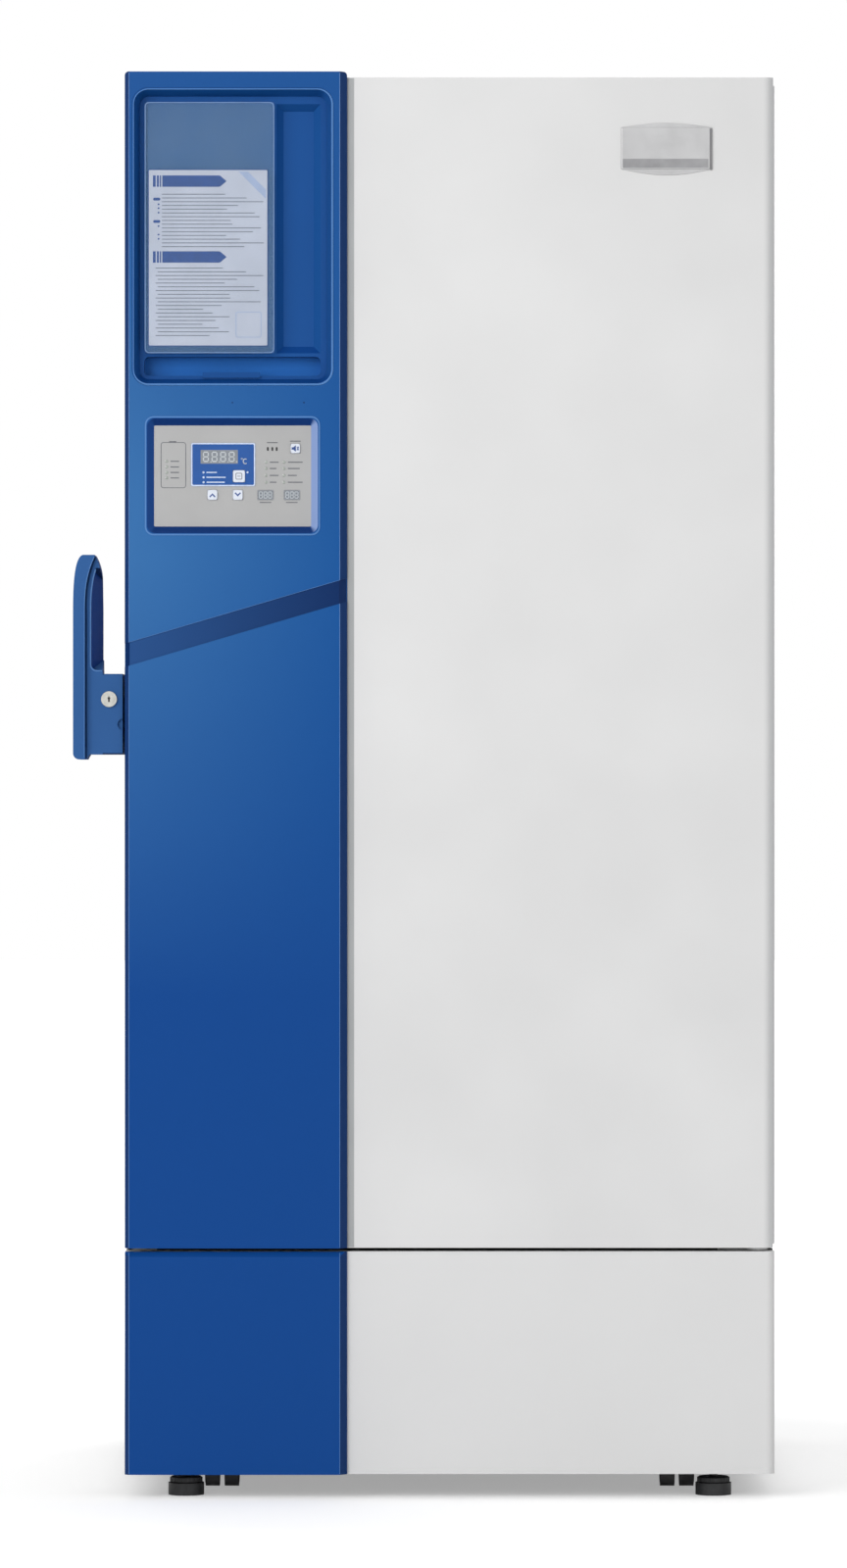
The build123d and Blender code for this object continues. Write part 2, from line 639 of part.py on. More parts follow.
def condenser():
    """Finned coil between two end plates, standing on the base, with rails for its filter."""
    x0, x1, z0, z1 = CONDENSER_LEFT, CONDENSER_RIGHT, CONDENSER_BOTTOM, CONDENSER_TOP
    coil = block(x0, x1, CONDENSER_Y, CONDENSER_BACK, z0 + 3.0, z1 - 3.0)
    fins = 14
    pitch = (x1 - x0 - 24.0) / fins
    for i in range(fins):
        x = x0 + 12.0 + (i + 0.5) * pitch
        coil -= block(x, x + pitch / 3, CONDENSER_Y - 1, CONDENSER_Y + 9.0, z0 + 12.0, z1 - 12.0)
    for z in (z0, z1 - 3.0):
        coil += block(x0, x1, FILTER_Y - 3.0, CONDENSER_BACK, z, z + 3.0)
    for x in (x0 + 4.0, x1 - 34.0):
        coil += block(x, x + 30.0, CONDENSER_Y + 25.0, CONDENSER_BACK, FRAME_TOP, z0)
    return coil


def condenser_filter():
    """Washable mesh cassette in front of the condenser."""
    gap = SEAT
    z0, z1 = CONDENSER_BOTTOM + 3.0 + gap, CONDENSER_TOP - 3.0 - gap
    x0, x1 = CONDENSER_LEFT + 4.0, CONDENSER_RIGHT - 4.0
    cassette = block(x0, x1, FILTER_Y, FILTER_Y + FILTER_T, z0, z1)
    columns, rows, rim = 4, 2, 12.0
    w, h = (x1 - x0 - rim) / columns, (z1 - z0 - rim) / rows
    for i in range(columns):
        for j in range(rows):
            x, z = x0 + rim + i * w, z0 + rim + j * h
            cassette -= block(x, x + w - rim, FILTER_Y - 1, FILTER_Y + 6.0, z, z + h - rim)
    grip = block(FAN_X - 30.0, FAN_X + 30.0, FILTER_Y - 8.0, FILTER_Y, z1 - 12.0, z1 - 6.0)
    return cassette + grip


def fan_shroud():
    x0, x1, z0, z1 = CONDENSER_LEFT, CONDENSER_RIGHT, CONDENSER_BOTTOM, CONDENSER_TOP
    y0, y1 = CONDENSER_BACK, SHROUD_Y + SHROUD_T
    shroud = slab(rect(x0, x1, z0, z1), y0, y1) - slab(rect(x0 + 2, x1 - 2, z0 + 2, z1 - 2), y0 - 1, y1 - 2.0)
    shroud -= rod_y(FAN_X, y0 - 1, y1 + 1, FAN_Z, FAN_R + FAN_CLEAR)
    return shroud


def fan_rotor():
    """Hub, shaft and pitched blades."""
    y0, y1 = SHROUD_Y + 10.0, SHROUD_Y + 34.0
    rotor = drum_y(FAN_X, y0, y1, FAN_Z, 24.0)
    rotor += rod_y(FAN_X, y1, y1 + 20.0, FAN_Z, FAN_SHAFT_R)
    for i in range(FAN_BLADES):
        blade = Pos(0, 0, (FAN_R + 20.0) / 2) * Rot(0, 0, 28) * Box(46.0, 2.0, FAN_R - 20.0)
        rotor += Pos(FAN_X, (y0 + y1) / 2, FAN_Z) * Rot(0, 360.0 / FAN_BLADES * i, 0) * blade
    return rotor


def fan_motor():
    """Motor can on a three-armed bracket fixed to the shroud."""
    y0 = SHROUD_Y + SHROUD_T + 12.0
    motor = drum_y(FAN_X, y0, y0 + 50.0, FAN_Z, MOTOR_R)
    motor -= rod_y(FAN_X, y0 - 1, y0 + 20.0, FAN_Z, FAN_SHAFT_R + RUN)
    reach = FAN_R + FAN_CLEAR + 2.0
    y_shroud = SHROUD_Y + SHROUD_T
    for sign in (-1, 1):
        inner, outer = FAN_X + sign * (MOTOR_R - 6.0), FAN_X + sign * (reach + 14.0)
        motor += block(min(inner, outer), max(inner, outer), y0 + 4.0, y0 + 8.0, FAN_Z - 7.0, FAN_Z + 7.0)
        foot = FAN_X + sign * (reach + 7.0)
        motor += block(foot - 7.0, foot + 7.0, y_shroud, y0 + 8.0, FAN_Z - 7.0, FAN_Z + 7.0)
    return motor


def compressor_places():
    return [(-COMPRESSOR_X, COMPRESSOR_Y), (COMPRESSOR_X, COMPRESSOR_Y)]


def compressors():
    """High and low stage: steel cans with stepped lids, on foot plates."""
    r, h = COMPRESSOR_R, COMPRESSOR_H
    parts = []
    for x, y in compressor_places():
        can = drum(r, 12.0, h - 22.0) + drum(r - 22.0, h - 22.0, h, 30)
        can += block(-r - 8.0, r + 8.0, -62.0, 62.0, 8.0, 12.0)
        for sx in (-1, 1):
            for sy in (-1, 1):
                can += block(sx * (r - 4) - 9, sx * (r - 4) + 9, sy * 50 - 9, sy * 50 + 9, 0, 8.0)
        parts.append(Pos(x, y, FRAME_TOP) * can)
    return Compound(children=parts)


def tube(points):
    """Insulated tube along straight runs, with mitred corners."""
    path = Polyline(*points)
    section = Plane(origin=path @ 0, z_dir=path % 0) * RegularPolygon(TUBE_R, 8)
    return sweep(section, path=path, transition=Transition.RIGHT)


def pipework():
    """Cascade heat exchanger in its insulation, and the tubes that join it to both stages."""
    x, y = 0.0, CAB_BACK - EXCHANGER_IN
    half_w, mid_y = EXCHANGER_W / 2, y + EXCHANGER_D / 2
    exchanger = block(x - half_w, x + half_w, y, y + EXCHANGER_D, FRAME_TOP, FRAME_TOP + EXCHANGER_H)
    parts = [exchanger]
    top = FRAME_TOP + TUBE_RISE
    for cx, cy in compressor_places():
        sign = 1 if cx > 0 else -1
        start = (cx, cy + COMPRESSOR_R, top)
        points = [start, (cx, mid_y, top), (sign * half_w, mid_y, top)]
        parts.append(tube(points))
    run_x, run_y = CONDENSER_LEFT - LIQUID_GAP, COMPRESSOR_Y - LIQUID_RUN
    end_y = CONDENSER_BACK - LIQUID_IN
    liquid = [(-COMPRESSOR_X, COMPRESSOR_Y - COMPRESSOR_R, top), (-COMPRESSOR_X, run_y, top),
              (run_x, run_y, top), (run_x, end_y, top), (CONDENSER_LEFT, end_y, top)]
    parts.append(tube(liquid))
    return Compound(children=parts)


def control_box():
    """Sheet-metal box of the electronics, with the power switch on its front."""
    box = block(BOX_LEFT, BOX_RIGHT, BOX_Y, BOX_Y + BOX_D, FRAME_TOP, BOX_TOP)
    box += block(BOX_LEFT - 10.0, BOX_RIGHT + 10.0, BOX_Y + 4.0, BOX_Y + BOX_D, BOX_TOP, BOX_TOP + 3.0)
    rim = 4.0
    w, h = ROCKER_W / 2, ROCKER_H / 2
    box += block(ROCKER_X - w - rim, ROCKER_X + w + rim, BOX_Y - 3.0, BOX_Y,
                 ROCKER_Z - h - rim, ROCKER_Z + h + rim)
    box -= block(ROCKER_X - w - SEAT, ROCKER_X + w + SEAT, BOX_Y - 4.0, BOX_Y + 16.0,
                 ROCKER_Z - h - 3.0, ROCKER_Z + h + 3.0)
    return box


def power_rocker():
    """Two-position rocker, turned about the middle of its back."""
    w, h = ROCKER_W / 2, ROCKER_H / 2
    outline = face([(BOX_Y + 8.0, ROCKER_Z - h + 4.0), (BOX_Y - 1.0, ROCKER_Z - h),
                    (BOX_Y - 5.0, ROCKER_Z - h + 1.0), (BOX_Y - 3.0, ROCKER_Z),
                    (BOX_Y - 5.0, ROCKER_Z + h - 1.0), (BOX_Y - 1.0, ROCKER_Z + h),
                    (BOX_Y + 8.0, ROCKER_Z + h - 4.0)])
    return side(outline, ROCKER_X - w, ROCKER_X + w)


# Hinges and latch on the cabinet

def hinge_arm_plan():
    """Plan of a hinge plate, cut back where the open door's front edge swings past it."""
    back = CAB_FRONT - HINGE_Y
    points = [(14, 5), (4, 32), (4, back), (-50, back), (-14, -5)]
    arm = face([(HINGE_X + x, HINGE_Y + y) for x, y in points])
    return arm + Pos(HINGE_X, HINGE_Y) * Circle(15.0)


def hinge_bracket_upper():
    z0 = SHELL_TOP
    z1 = z0 + HINGE_PLATE_T
    foot = face([(HINGE_X - HINGE_ARM, CAB_FRONT + 3), (HINGE_X - 50, CAB_FRONT), (HINGE_X + 4, CAB_FRONT),
                 (HINGE_X + 12, CAB_FRONT + 8), (HINGE_X + 12, CAB_FRONT + 90),
                 (HINGE_X - HINGE_ARM, CAB_FRONT + 90)])
    bracket = column(hinge_arm_plan() + foot, z0, z1)
    return bracket + rod_z(HINGE_X, HINGE_Y, z0 - HINGE_PIN_L, z0, HINGE_PIN_R)


def hinge_bracket_lower():
    """Plate in the gap under the door: one pin up for the door, one down for the lower panel."""
    z0 = LOWER_PLATE_Z
    z1 = z0 + LOWER_PLATE_T
    bracket = column(hinge_arm_plan(), z0, z1)
    bracket += block(HINGE_X - 50, HINGE_X + 4, CAB_FRONT - 6.0, CAB_FRONT, z0 - 90.0, z1)
    bracket += rod_z(HINGE_X, HINGE_Y, z1, z1 + HINGE_PIN_L, HINGE_PIN_R)
    return bracket + rod_z(HINGE_X, HINGE_Y, z0 - 8.0, z0, INNER_PIN_R)


def latch_strike():
    """Plate with a round pin, on the cabinet's left side."""
    strike = block(-HALF - STRIKE_T, -HALF, STRIKE_Y - 15, STRIKE_Y + 65, STRIKE_Z - 35, STRIKE_Z + 35)
    return strike + rod_x(-HALF - 27.0, -HALF, STRIKE_Y, STRIKE_Z, STRIKE_R)


# Outer door

def hinge_notches(grow):
    """Pockets for the hinge plates in the door's upper and lower right corners."""
    x0 = HINGE_X - NOTCH_SIDE - grow
    y0 = NOTCH_FRONT - grow
    low = LOWER_PLATE_Z + LOWER_PLATE_T + NOTCH_GAP + grow
    high = SHELL_TOP - NOTCH_GAP - grow
    return [block(x0, HALF + 1, y0, DOOR_T + 1, high, PANEL_TOP + 1),
            block(x0, HALF + 1, y0, DOOR_T + 1, DOOR_BOTTOM - 1, low)]


def front_plan(inset, depth):
    """Plan of a panel with a rounded front right edge."""
    width = CABINET_W - 2 * inset
    shape = Pos(0, (inset + depth) / 2) * Rectangle(width, depth - inset)
    corner = shape.vertices().group_by(Axis.Y)[0].sort_by(Axis.X)[-1]
    return fillet(corner, EDGE_R - inset)


def tray_box():
    """Low and high x and z of the document tray's opening."""
    x0 = -HALF + TRAY_LEFT
    z1 = OVERALL_H - TRAY_TOP
    return x0, x0 + TRAY_W, z1 - TRAY_H, z1


def bezel_box():
    x0 = -HALF + BEZEL_LEFT
    z1 = OVERALL_H - BEZEL_TOP
    return x0, x0 + BEZEL_W, z1 - BEZEL_H, z1


def hub_block():
    return block(-HALF, -HALF + SHAFT_L + 8.0, PIVOT_Y - 30, PIVOT_Y + 30, PIVOT_Z - 30, PIVOT_Z + 30)


def bush_spans():
    """Low and high z of the door's two bushes for the hinge pins."""
    high = SHELL_TOP - NOTCH_GAP
    low = LOWER_PLATE_Z + LOWER_PLATE_T + SEAT
    length = HINGE_PIN_L + 4.0
    return [(high - length, high), (low, low + length)]


def pin_bushes():
    x, y, h = HINGE_X, HINGE_Y, BUSH_HALF
    return [block(x - h, x + h, y - h, y + h, z0, z1) for z0, z1 in bush_spans()]


def door_skin():
    """Folded white sheet: front, sides, top, bottom and a narrow flange at the back."""
    t = SHELL_T
    skin = column(front_plan(0, DOOR_T), DOOR_BOTTOM, PANEL_TOP)
    hollow = column(front_plan(t, DOOR_T - t), DOOR_BOTTOM + t, PANEL_TOP - t)
    for notch in hinge_notches(t):
        hollow -= notch
    skin = skin - hollow - hinge_notches(0)
    skin -= block(-HALF + FLANGE_BACK, HALF - FLANGE_BACK, DOOR_T - t - 1, DOOR_T + 1,
                  DOOR_BOTTOM + FLANGE_BACK, PANEL_TOP - FLANGE_BACK)
    x0, x1, z0, z1 = tray_box()
    skin -= slab(rect(x0, x1, z0, z1), -1, t + 1)
    x0, x1, z0, z1 = bezel_box()
    skin -= slab(rect(x0 + 12, x1 - 12, z0 + 12, z1 - 12), -1, t + 1)
    skin -= hub_block()
    for bush in pin_bushes():
        skin += bush
    for z0, z1 in bush_spans():
        skin -= rod_z(HINGE_X, HINGE_Y, z0 - 0.5, z1 + 0.5, HINGE_PIN_R + RUN)
    return skin


def door_foam():
    t = SHELL_T
    foam = column(front_plan(t, DOOR_LINER_Y), DOOR_BOTTOM + t, PANEL_TOP - t)
    foam = foam - hinge_notches(t) - pin_bushes() - hub_block()
    x0, x1, z0, z1 = tray_box()
    foam -= block(x0, x1, 0, TRAY_D - FASCIA_PROUD + TRAY_WALL + 0.5, z0, z1)
    foam -= block(x1 - CHANNEL_W - 36, x1 - 8, 0, TRAY_D - FASCIA_PROUD + CHANNEL_D + TRAY_WALL + 0.5,
                  z0 + 36, z1 - 10)
    foam -= block(x0 + 8, x1 - 8, 0, TRAY_D - FASCIA_PROUD + PEN_D + TRAY_WALL + 0.5, z0 + 5, z0 + 46)
    x0, x1, z0, z1 = bezel_box()
    foam -= block(x0 + 12, x1 - 12, 0, 12, z0 + 12, z1 - 12)
    return foam


def door_liner():
    """Moulded back of the door, with a shallow raised middle."""
    t = SHELL_T
    y0, y1 = DOOR_LINER_Y, DOOR_LINER_Y + DOOR_LINER_T
    x, low, high = CHAMBER_HALF + 10, CHAMBER_BOTTOM - 10, CHAMBER_TOP + 10
    sheet = block(-HALF + t, HALF - t, y0, y1, DOOR_BOTTOM + t, PANEL_TOP - t)
    for notch in hinge_notches(t):
        sheet -= notch
    plug = slab(rect(-x, x, low, high, PLUG_CORNER), y0, DOOR_T + PLUG_PROUD)
    hollow = slab(rect(-x + 2, x - 2, low + 2, high - 2, PLUG_CORNER - 2), y0 - 1, DOOR_T + PLUG_PROUD - 2)
    return sheet + plug - hollow


def ring(outer, width, r, y0, y1):
    """A rectangular ring in a front view; outer holds its low and high x and z."""
    x0, x1, z0, z1 = outer
    hole = rect(x0 + width, x1 - width, z0 + width, z1 - width, max(r - width, 0))
    return slab(rect(x0, x1, z0, z1, r), y0, y1) - slab(hole, y0 - 1, y1 + 1)


def door_gasket():
    """Compression gasket: narrow neck and a wide sealing bulb."""
    half = HALF - GASKET_INSET
    low, high = FOAM_BOTTOM + GASKET_INSET, SHELL_TOP - GASKET_INSET
    y0, y1 = DOOR_T - SHELL_T, CAB_FRONT - GASKET_CLEAR
    mid = (y0 + y1) / 2
    neck = 5.0
    gasket = ring((-half + neck, half - neck, low + neck, high - neck), GASKET_W - 2 * neck, 0, y0, mid)
    return gasket + ring((-half, half, low, high), GASKET_W, 30.0, mid, y1)


def fascia_plan(inset):
    """Plan of a blue fascia: flat front with a narrow left and a wider right chamfer."""
    front = FASCIA_FRONT + inset
    left, right = -HALF + inset, FASCIA_RIGHT - inset
    return face([(left, inset), (left, front + LEFT_CHAMFER), (left + LEFT_CHAMFER, front),
                 (right - RIGHT_CHAMFER, front), (right, front + RIGHT_CHAMFER), (right, inset)])


def stripe_band(y0, y1):
    """Slanting band across the whole fascia."""
    x0, x1 = -HALF - 1, FASCIA_RIGHT + 1
    outline = face([(x0, STRIPE_LEFT - STRIPE_H), (x0, STRIPE_LEFT), (x1, STRIPE_RIGHT),
                    (x1, STRIPE_RIGHT - STRIPE_H)])
    return slab(outline, y0, y1)


def fascia_outline():
    """Front view of the door's fascia, with rounded upper corners."""
    middle = Pos((-HALF + FASCIA_RIGHT) / 2, (DOOR_BOTTOM + OVERALL_H) / 2)
    shape = middle * Rectangle(FASCIA_W, OVERALL_H - DOOR_BOTTOM)
    corners = shape.vertices().group_by(Axis.Y)[-1].sort_by(Axis.X)
    return fillet(corners, FASCIA_CORNER_R)


def door_fascia():
    """Blue moulding over the door's left third, open at the back."""
    t = FASCIA_T
    fascia = column(fascia_plan(0), DOOR_BOTTOM, OVERALL_H) & slab(fascia_outline(), FASCIA_FRONT - 1, 0)
    fascia -= column(fascia_plan(t), DOOR_BOTTOM + t, PANEL_TOP - t)
    x0, x1, z0, z1 = tray_box()
    grow = TRAY_WALL + SEAT
    fascia -= slab(rect(x0 - grow, x1 + grow, z0 - grow, z1 + grow, TRAY_R + grow), FASCIA_FRONT - 1, 0)
    x0, x1, z0, z1 = bezel_box()
    fascia -= slab(rect(x0 - SEAT, x1 + SEAT, z0 - SEAT, z1 + SEAT, BEZEL_R + SEAT), FASCIA_FRONT - 1, 0)
    inside = column(fascia_plan(STRIPE_GROOVE), DOOR_BOTTOM, OVERALL_H)
    return fascia - (stripe_band(FASCIA_FRONT - 1, -STRIPE_GROOVE) - inside)


def fascia_stripe():
    """Dark inlay at the bottom of the slanting groove, wrapped over both chamfers."""
    outer = column(fascia_plan(STRIPE_GROOVE - STRIPE_T), DOOR_BOTTOM, OVERALL_H)
    inside = column(fascia_plan(STRIPE_GROOVE), DOOR_BOTTOM, OVERALL_H)
    return (outer - inside) & stripe_band(FASCIA_FRONT, -STRIPE_GROOVE)


def document_tray():
    """Drafted recess with a deeper channel on the right and a pen trough along the bottom."""
    x0, x1, z0, z1 = tray_box()
    w, front = TRAY_WALL, FASCIA_FRONT
    floor = front + TRAY_D
    slope = TRAY_DRAFT_TAN
    deep, deep_out = TRAY_D * slope, (TRAY_D + w) * slope - w
    tray = slab(rect(x0 + deep_out, x1 - deep_out, z0 + deep_out, z1 - deep_out, TRAY_R - deep_out),
                front, floor + w, taper=-TRAY_DRAFT)
    cx0, cx1, cz0, cz1 = channel_box()
    px0, px1, pz0, pz1 = pen_box()
    tray += block(cx0 - w, cx1 + w, floor, floor + CHANNEL_D + w, cz0 - w, cz1 + w)
    tray += block(px0 - w, px1 + w, floor, floor + PEN_D + w, pz0 - w, pz1 + w)
    tray -= slab(rect(x0 + deep, x1 - deep, z0 + deep, z1 - deep, TRAY_R - deep), front, floor,
                 taper=-TRAY_DRAFT)
    side_in = CHANNEL_D
    tray -= slab(rect(cx0 + side_in, cx1 - side_in, cz0 + side_in, cz1 - side_in), floor, floor + CHANNEL_D,
                 taper=-44)
    tray -= slab(rect(px0, px1, pz0, pz1, PEN_R), floor - 1, floor + PEN_D)
    mid = (px0 + px1) / 2 - 1.5
    return tray + block(mid - PEN_LIP_W / 2, mid + PEN_LIP_W / 2, floor - 3, floor + w, pz0 - 3, pz0 + 5)


def channel_box():
    """The deeper channel, at the tray's floor."""
    x0, x1, z0, z1 = tray_box()
    right = x1 - 15.0
    return right - CHANNEL_W - 14.0, right, z0 + 43.0, z1 - 17.5


def pen_box():
    x0, x1, z0, z1 = tray_box()
    left = x0 + 13.6
    return left, left + PEN_W, z0 + 12.0, z0 + 12.0 + PEN_H


def clear_pocket():
    """Clear sleeve for a card: front sheet on left, right and bottom rails."""
    x0, x1, z0, z1 = tray_box()
    left, bottom = x0 + 14.5, z0 + 42.4
    right, top = left + POCKET_W, bottom + POCKET_H
    y0 = FASCIA_FRONT + POCKET_BACK
    y1 = FASCIA_FRONT + TRAY_D
    pocket = block(left, right, y0, y0 + POCKET_T, bottom, top)
    pocket += block(left, left + 4.0, y0, y1, bottom, top)
    pocket += block(right - 4.0, right, y0, y0 + POCKET_T + 3.0, bottom, top)
    return pocket + block(left, right - 4.0, y0, y1, bottom, bottom + 8.0)


# Control panel

def face_box():
    """The silver faceplate's visible area, inside the bezel."""
    x0, x1, z0, z1 = bezel_box()
    return x0 + BEZEL_RIM, x1 - BEZEL_RIM, z0 + BEZEL_RIM, z1 - BEZEL_RIM


def control_bezel():
    """Frame with sloping inner walls around the faceplate."""
    x0, x1, z0, z1 = bezel_box()
    fx0, fx1, fz0, fz1 = face_box()
    front, floor = FASCIA_FRONT - BEZEL_PROUD, FASCIA_FRONT + BEZEL_D
    ledge = FACE_LEDGE + 0.2
    bezel = slab(rect(x0, x1, z0, z1, BEZEL_R), front, 0)
    bezel -= slab(rect(fx0, fx1, fz0, fz1, 2.0), front, floor, taper=-44)
    bezel -= slab(rect(fx0, fx1, fz0, fz1, 2.0), floor - 1, 1)
    return bezel - slab(rect(fx0 - ledge, fx1 + ledge, fz0 - ledge, fz1 + ledge), floor, 1)


def button_place(name):
    x0, x1, z0, z1 = face_box()
    across, down, size = BUTTONS[name]
    return x0 + across, z1 - down, size


def button_block(name, grow, y0, y1, r=0):
    """A square block on a button's axis, larger than its cap by grow on each side."""
    x, z, size = button_place(name)
    h = size / 2 + grow
    return slab(rect(x - h, x + h, z - h, z + h, r), y0, y1)


def control_faceplate():
    x0, x1, z0, z1 = face_box()
    y0 = FASCIA_FRONT + BEZEL_D
    grow = FACE_LEDGE
    plate = slab(rect(x0 - grow, x1 + grow, z0 - grow, z1 + grow), y0, y0 + FACE_T)
    for name in BUTTONS:
        plate -= button_block(name, SEAT, y0 - 1, y0 + FACE_T + 1)
    return plate


def display_lens():
    """Window over the display, with a hole for the square button."""
    x0, x1, z0, z1 = face_box()
    y1 = FASCIA_FRONT + BEZEL_D
    left, top = x0 + LENS_X, z1 - LENS_TOP
    lens = slab(rect(left, left + LENS_W, top - LENS_H, top, 3.0), y1 - LENS_T, y1)
    return lens - button_block("button_set", SEAT, y1 - LENS_T - 1, y1 + 1)


def push_button(name):
    """Square cap with a flange behind the faceplate."""
    back = FASCIA_FRONT + BEZEL_D + FACE_T
    cap_front = back - FACE_T - LENS_T - 1.4
    cap = button_block(name, 0, cap_front, back + BUTTON_GAP + 1.4, 2.5)
    return cap + button_block(name, 1.5, back + BUTTON_GAP, back + BUTTON_GAP + 1.4)


def display_board():
    """Circuit board with its digit block, switches and four pillars."""
    x0, x1, z0, z1 = face_box()
    back = FASCIA_FRONT + BEZEL_D + FACE_T
    switch_front = back + BUTTON_GAP + 1.4 + BUTTON_TRAVEL + SEAT
    y0 = switch_front + 1.9
    board = block(x0 + 6, x1 - 6, y0, y0 + BOARD_T, z0 + 6, z1 - 6)
    left, top = x0 + LENS_X, z1 - LENS_TOP
    board += block(left + 14, left + 66, back + 0.6, y0, top - 27, top - 9)
    for name in BUTTONS:
        x, z, size = button_place(name)
        board += block(x - 3, x + 3, switch_front, y0, z - 3, z + 3)
    for x in (x0 + 10, x1 - 10):
        for z in (z0 + 10, z1 - 10):
            board += block(x - 3, x + 3, back, y0, z - 3, z + 3)
    return board


# Handle

def handle_hub():
    """Bearing block in the door's left side."""
    boss = SHAFT_R + 6.0
    hub = hub_block() + block(-HALF - BLOCK_GAP + SEAT, -HALF, PIVOT_Y - boss, PIVOT_Y + boss,
                              PIVOT_Z - boss, PIVOT_Z + boss)
    return hub - rod_x(-HALF - BLOCK_GAP - 1, -HALF + SHAFT_L + SEAT, PIVOT_Y, PIVOT_Z, SHAFT_R + RUN)


def lever_silhouette():
    """Front view of the whole lever: a long flat side, and a rounded top that leans in."""
    x0, x1, top, low = HANDLE_X, HANDLE_X + LEVER_W, LEVER_TOP, LEVER_BOTTOM
    flank = Line((x0, low + 9), (x0, top - 75))
    crown = Bezier((x0, top - 75), (x0, top - 25), (x0 + 5, top - 2), (x0 + 14, top))
    cap = Line((x0 + 14, top), (x0 + 30, top))
    shoulder = ThreePointArc((x0 + 30, top), (x0 + 35, top - 11), (x0 + 39, top - 32))
    inner = Line((x0 + 39, top - 32), (x1, BLOCK_TOP))
    foot = Polyline((x1, BLOCK_TOP), (x1, BLOCK_BOTTOM), (x0 + STRIP_W + 6, BLOCK_BOTTOM),
                    (x0 + STRIP_W + 2, low), (x0 + 9, low))
    heel = ThreePointArc((x0 + 9, low), (x0 + 2.6, low + 2.6), (x0, low + 9))
    return make_face([flank, crown, cap, shoulder, inner, foot, heel])


def beside_strip(offset):
    """All that lies left of the strip's inner side, which leans in at the top, moved right by offset."""
    x, far = HANDLE_X + STRIP_W + offset, HANDLE_X - 1
    low, top = LEVER_BOTTOM - 1, LEVER_TOP + 1
    straight = Line((x, low), (x, top - 80))
    lean = ThreePointArc((x, top - 80), (x + 3.4, top - 34), (x + 15, top))
    return make_face([straight, lean, Polyline((x + 15, top), (far, top), (far, low), (x, low))])


def lever_strip():
    """Front strip of the lever, bevelled along its outer side."""
    strip = slab(lever_silhouette() & beside_strip(0), LEVER_FRONT, LEVER_STEP + GROOVE_D)
    x0, x1, y = HANDLE_X, HANDLE_X + LEVER_W, LEVER_FRONT
    bevelled = face([(x0, y + STRIP_BEVEL), (x0 + STRIP_BEVEL, y), (x1, y), (x1, LEVER_BACK),
                     (x0, LEVER_BACK)])
    return strip & column(bevelled, LEVER_BOTTOM, LEVER_TOP)


def lever_groove():
    """Narrow groove between the strip and the rest of the lever."""
    return slab(beside_strip(GROOVE_W) - beside_strip(0), LEVER_STEP - 1, LEVER_STEP + GROOVE_D)


def lever_scoop():
    """Hollow in the lever's inner side, where the fingers go."""
    x1 = HANDLE_X + LEVER_W
    lean = (LEVER_BACK - LEVER_STEP) * TRAY_DRAFT_TAN
    low, high = BLOCK_TOP + 4 + lean, LEVER_TOP - 18 - lean
    hollow = slab(rect(x1, x1 + 30, low, high), LEVER_STEP - 0.1, LEVER_BACK, taper=-TRAY_DRAFT)
    return hollow - slab(beside_strip(GROOVE_W + SCOOP_RIM), LEVER_STEP - 1, LEVER_BACK)


def handle_lever():
    """Lever, lock block and pivot shaft in one casting."""
    x0, x1 = HANDLE_X, HANDLE_X + LEVER_W
    s, b = LEVER_STEP, LEVER_BACK
    plan = face([(x0, s), (x1, s), (x1, b - 6), (x1 - 6, b), (x0 + 8, b), (x0, b - 8)])
    arm = column(plan, LEVER_BOTTOM, LEVER_TOP) & slab(lever_silhouette(), s, b)
    arm = arm - lever_scoop() - lever_groove() + lever_strip()
    right = -HALF - BLOCK_GAP
    body = block(x0 + STRIP_W + GROOVE_W, right, BLOCK_FRONT, BLOCK_BACK, BLOCK_BOTTOM, BLOCK_TOP)
    body = chamfer(body.edges().filter_by(Axis.X).group_by(Axis.Y)[-1], 14.0)
    body = chamfer(body.edges().filter_by(Axis.X).group_by(Axis.Y)[0], 2.0)
    lever = arm + body
    lever -= rod_y(right + 1, BLOCK_FRONT - 1, BLOCK_FRONT + NOTCH_D, PIVOT_Z - 14, NOTCH_R)
    lever += rod_x(right - 2, -HALF + SHAFT_L, PIVOT_Y, PIVOT_Z, SHAFT_R)
    return lever - drum_y(-HALF - LOCK_X, -20, BLOCK_FRONT + LOCK_DEPTH, LOCK_Z, LOCK_R + SEAT)


def lock_barrel():
    """Bright lock ring in the handle's block."""
    x = -HALF - LOCK_X
    y0, y1 = BLOCK_FRONT - LOCK_PROUD, BLOCK_FRONT + LOCK_DEPTH
    return drum_y(x, y0, y1, LOCK_Z, LOCK_R) - rod_y(x, y0 - 1, y1 + 1, LOCK_Z, PLUG_R + RUN)


def lock_plug():
    """Turning plug with its key slot."""
    x = -HALF - LOCK_X
    front = BLOCK_FRONT - LOCK_PROUD - 0.6
    plug = rod_y(x, front, BLOCK_FRONT + LOCK_DEPTH - SEAT, LOCK_Z, PLUG_R)
    return plug - block(x - 1.2, x + 1.2, front - 1, front + 4.0, LOCK_Z - 4.5, LOCK_Z + 4.5)


def latch_hook():
    """Hook plate behind the lock block; its beak reaches over the strike's pin."""
    above = STRIKE_Z + STRIKE_R + 0.4
    heel_y = STRIKE_Y - STRIKE_R - 3.0
    outline = face([(BLOCK_BACK, STRIKE_Z - 10), (heel_y - 4, STRIKE_Z - 10), (heel_y, STRIKE_Z - 6),
                    (heel_y, above), (STRIKE_Y + 18, above), (STRIKE_Y + 22, above + 6),
                    (STRIKE_Y + 12, above + 24), (BLOCK_BACK, above + 24)])
    return side(outline, -HALF - 23.0, -HALF - 13.0)


# Inner doors

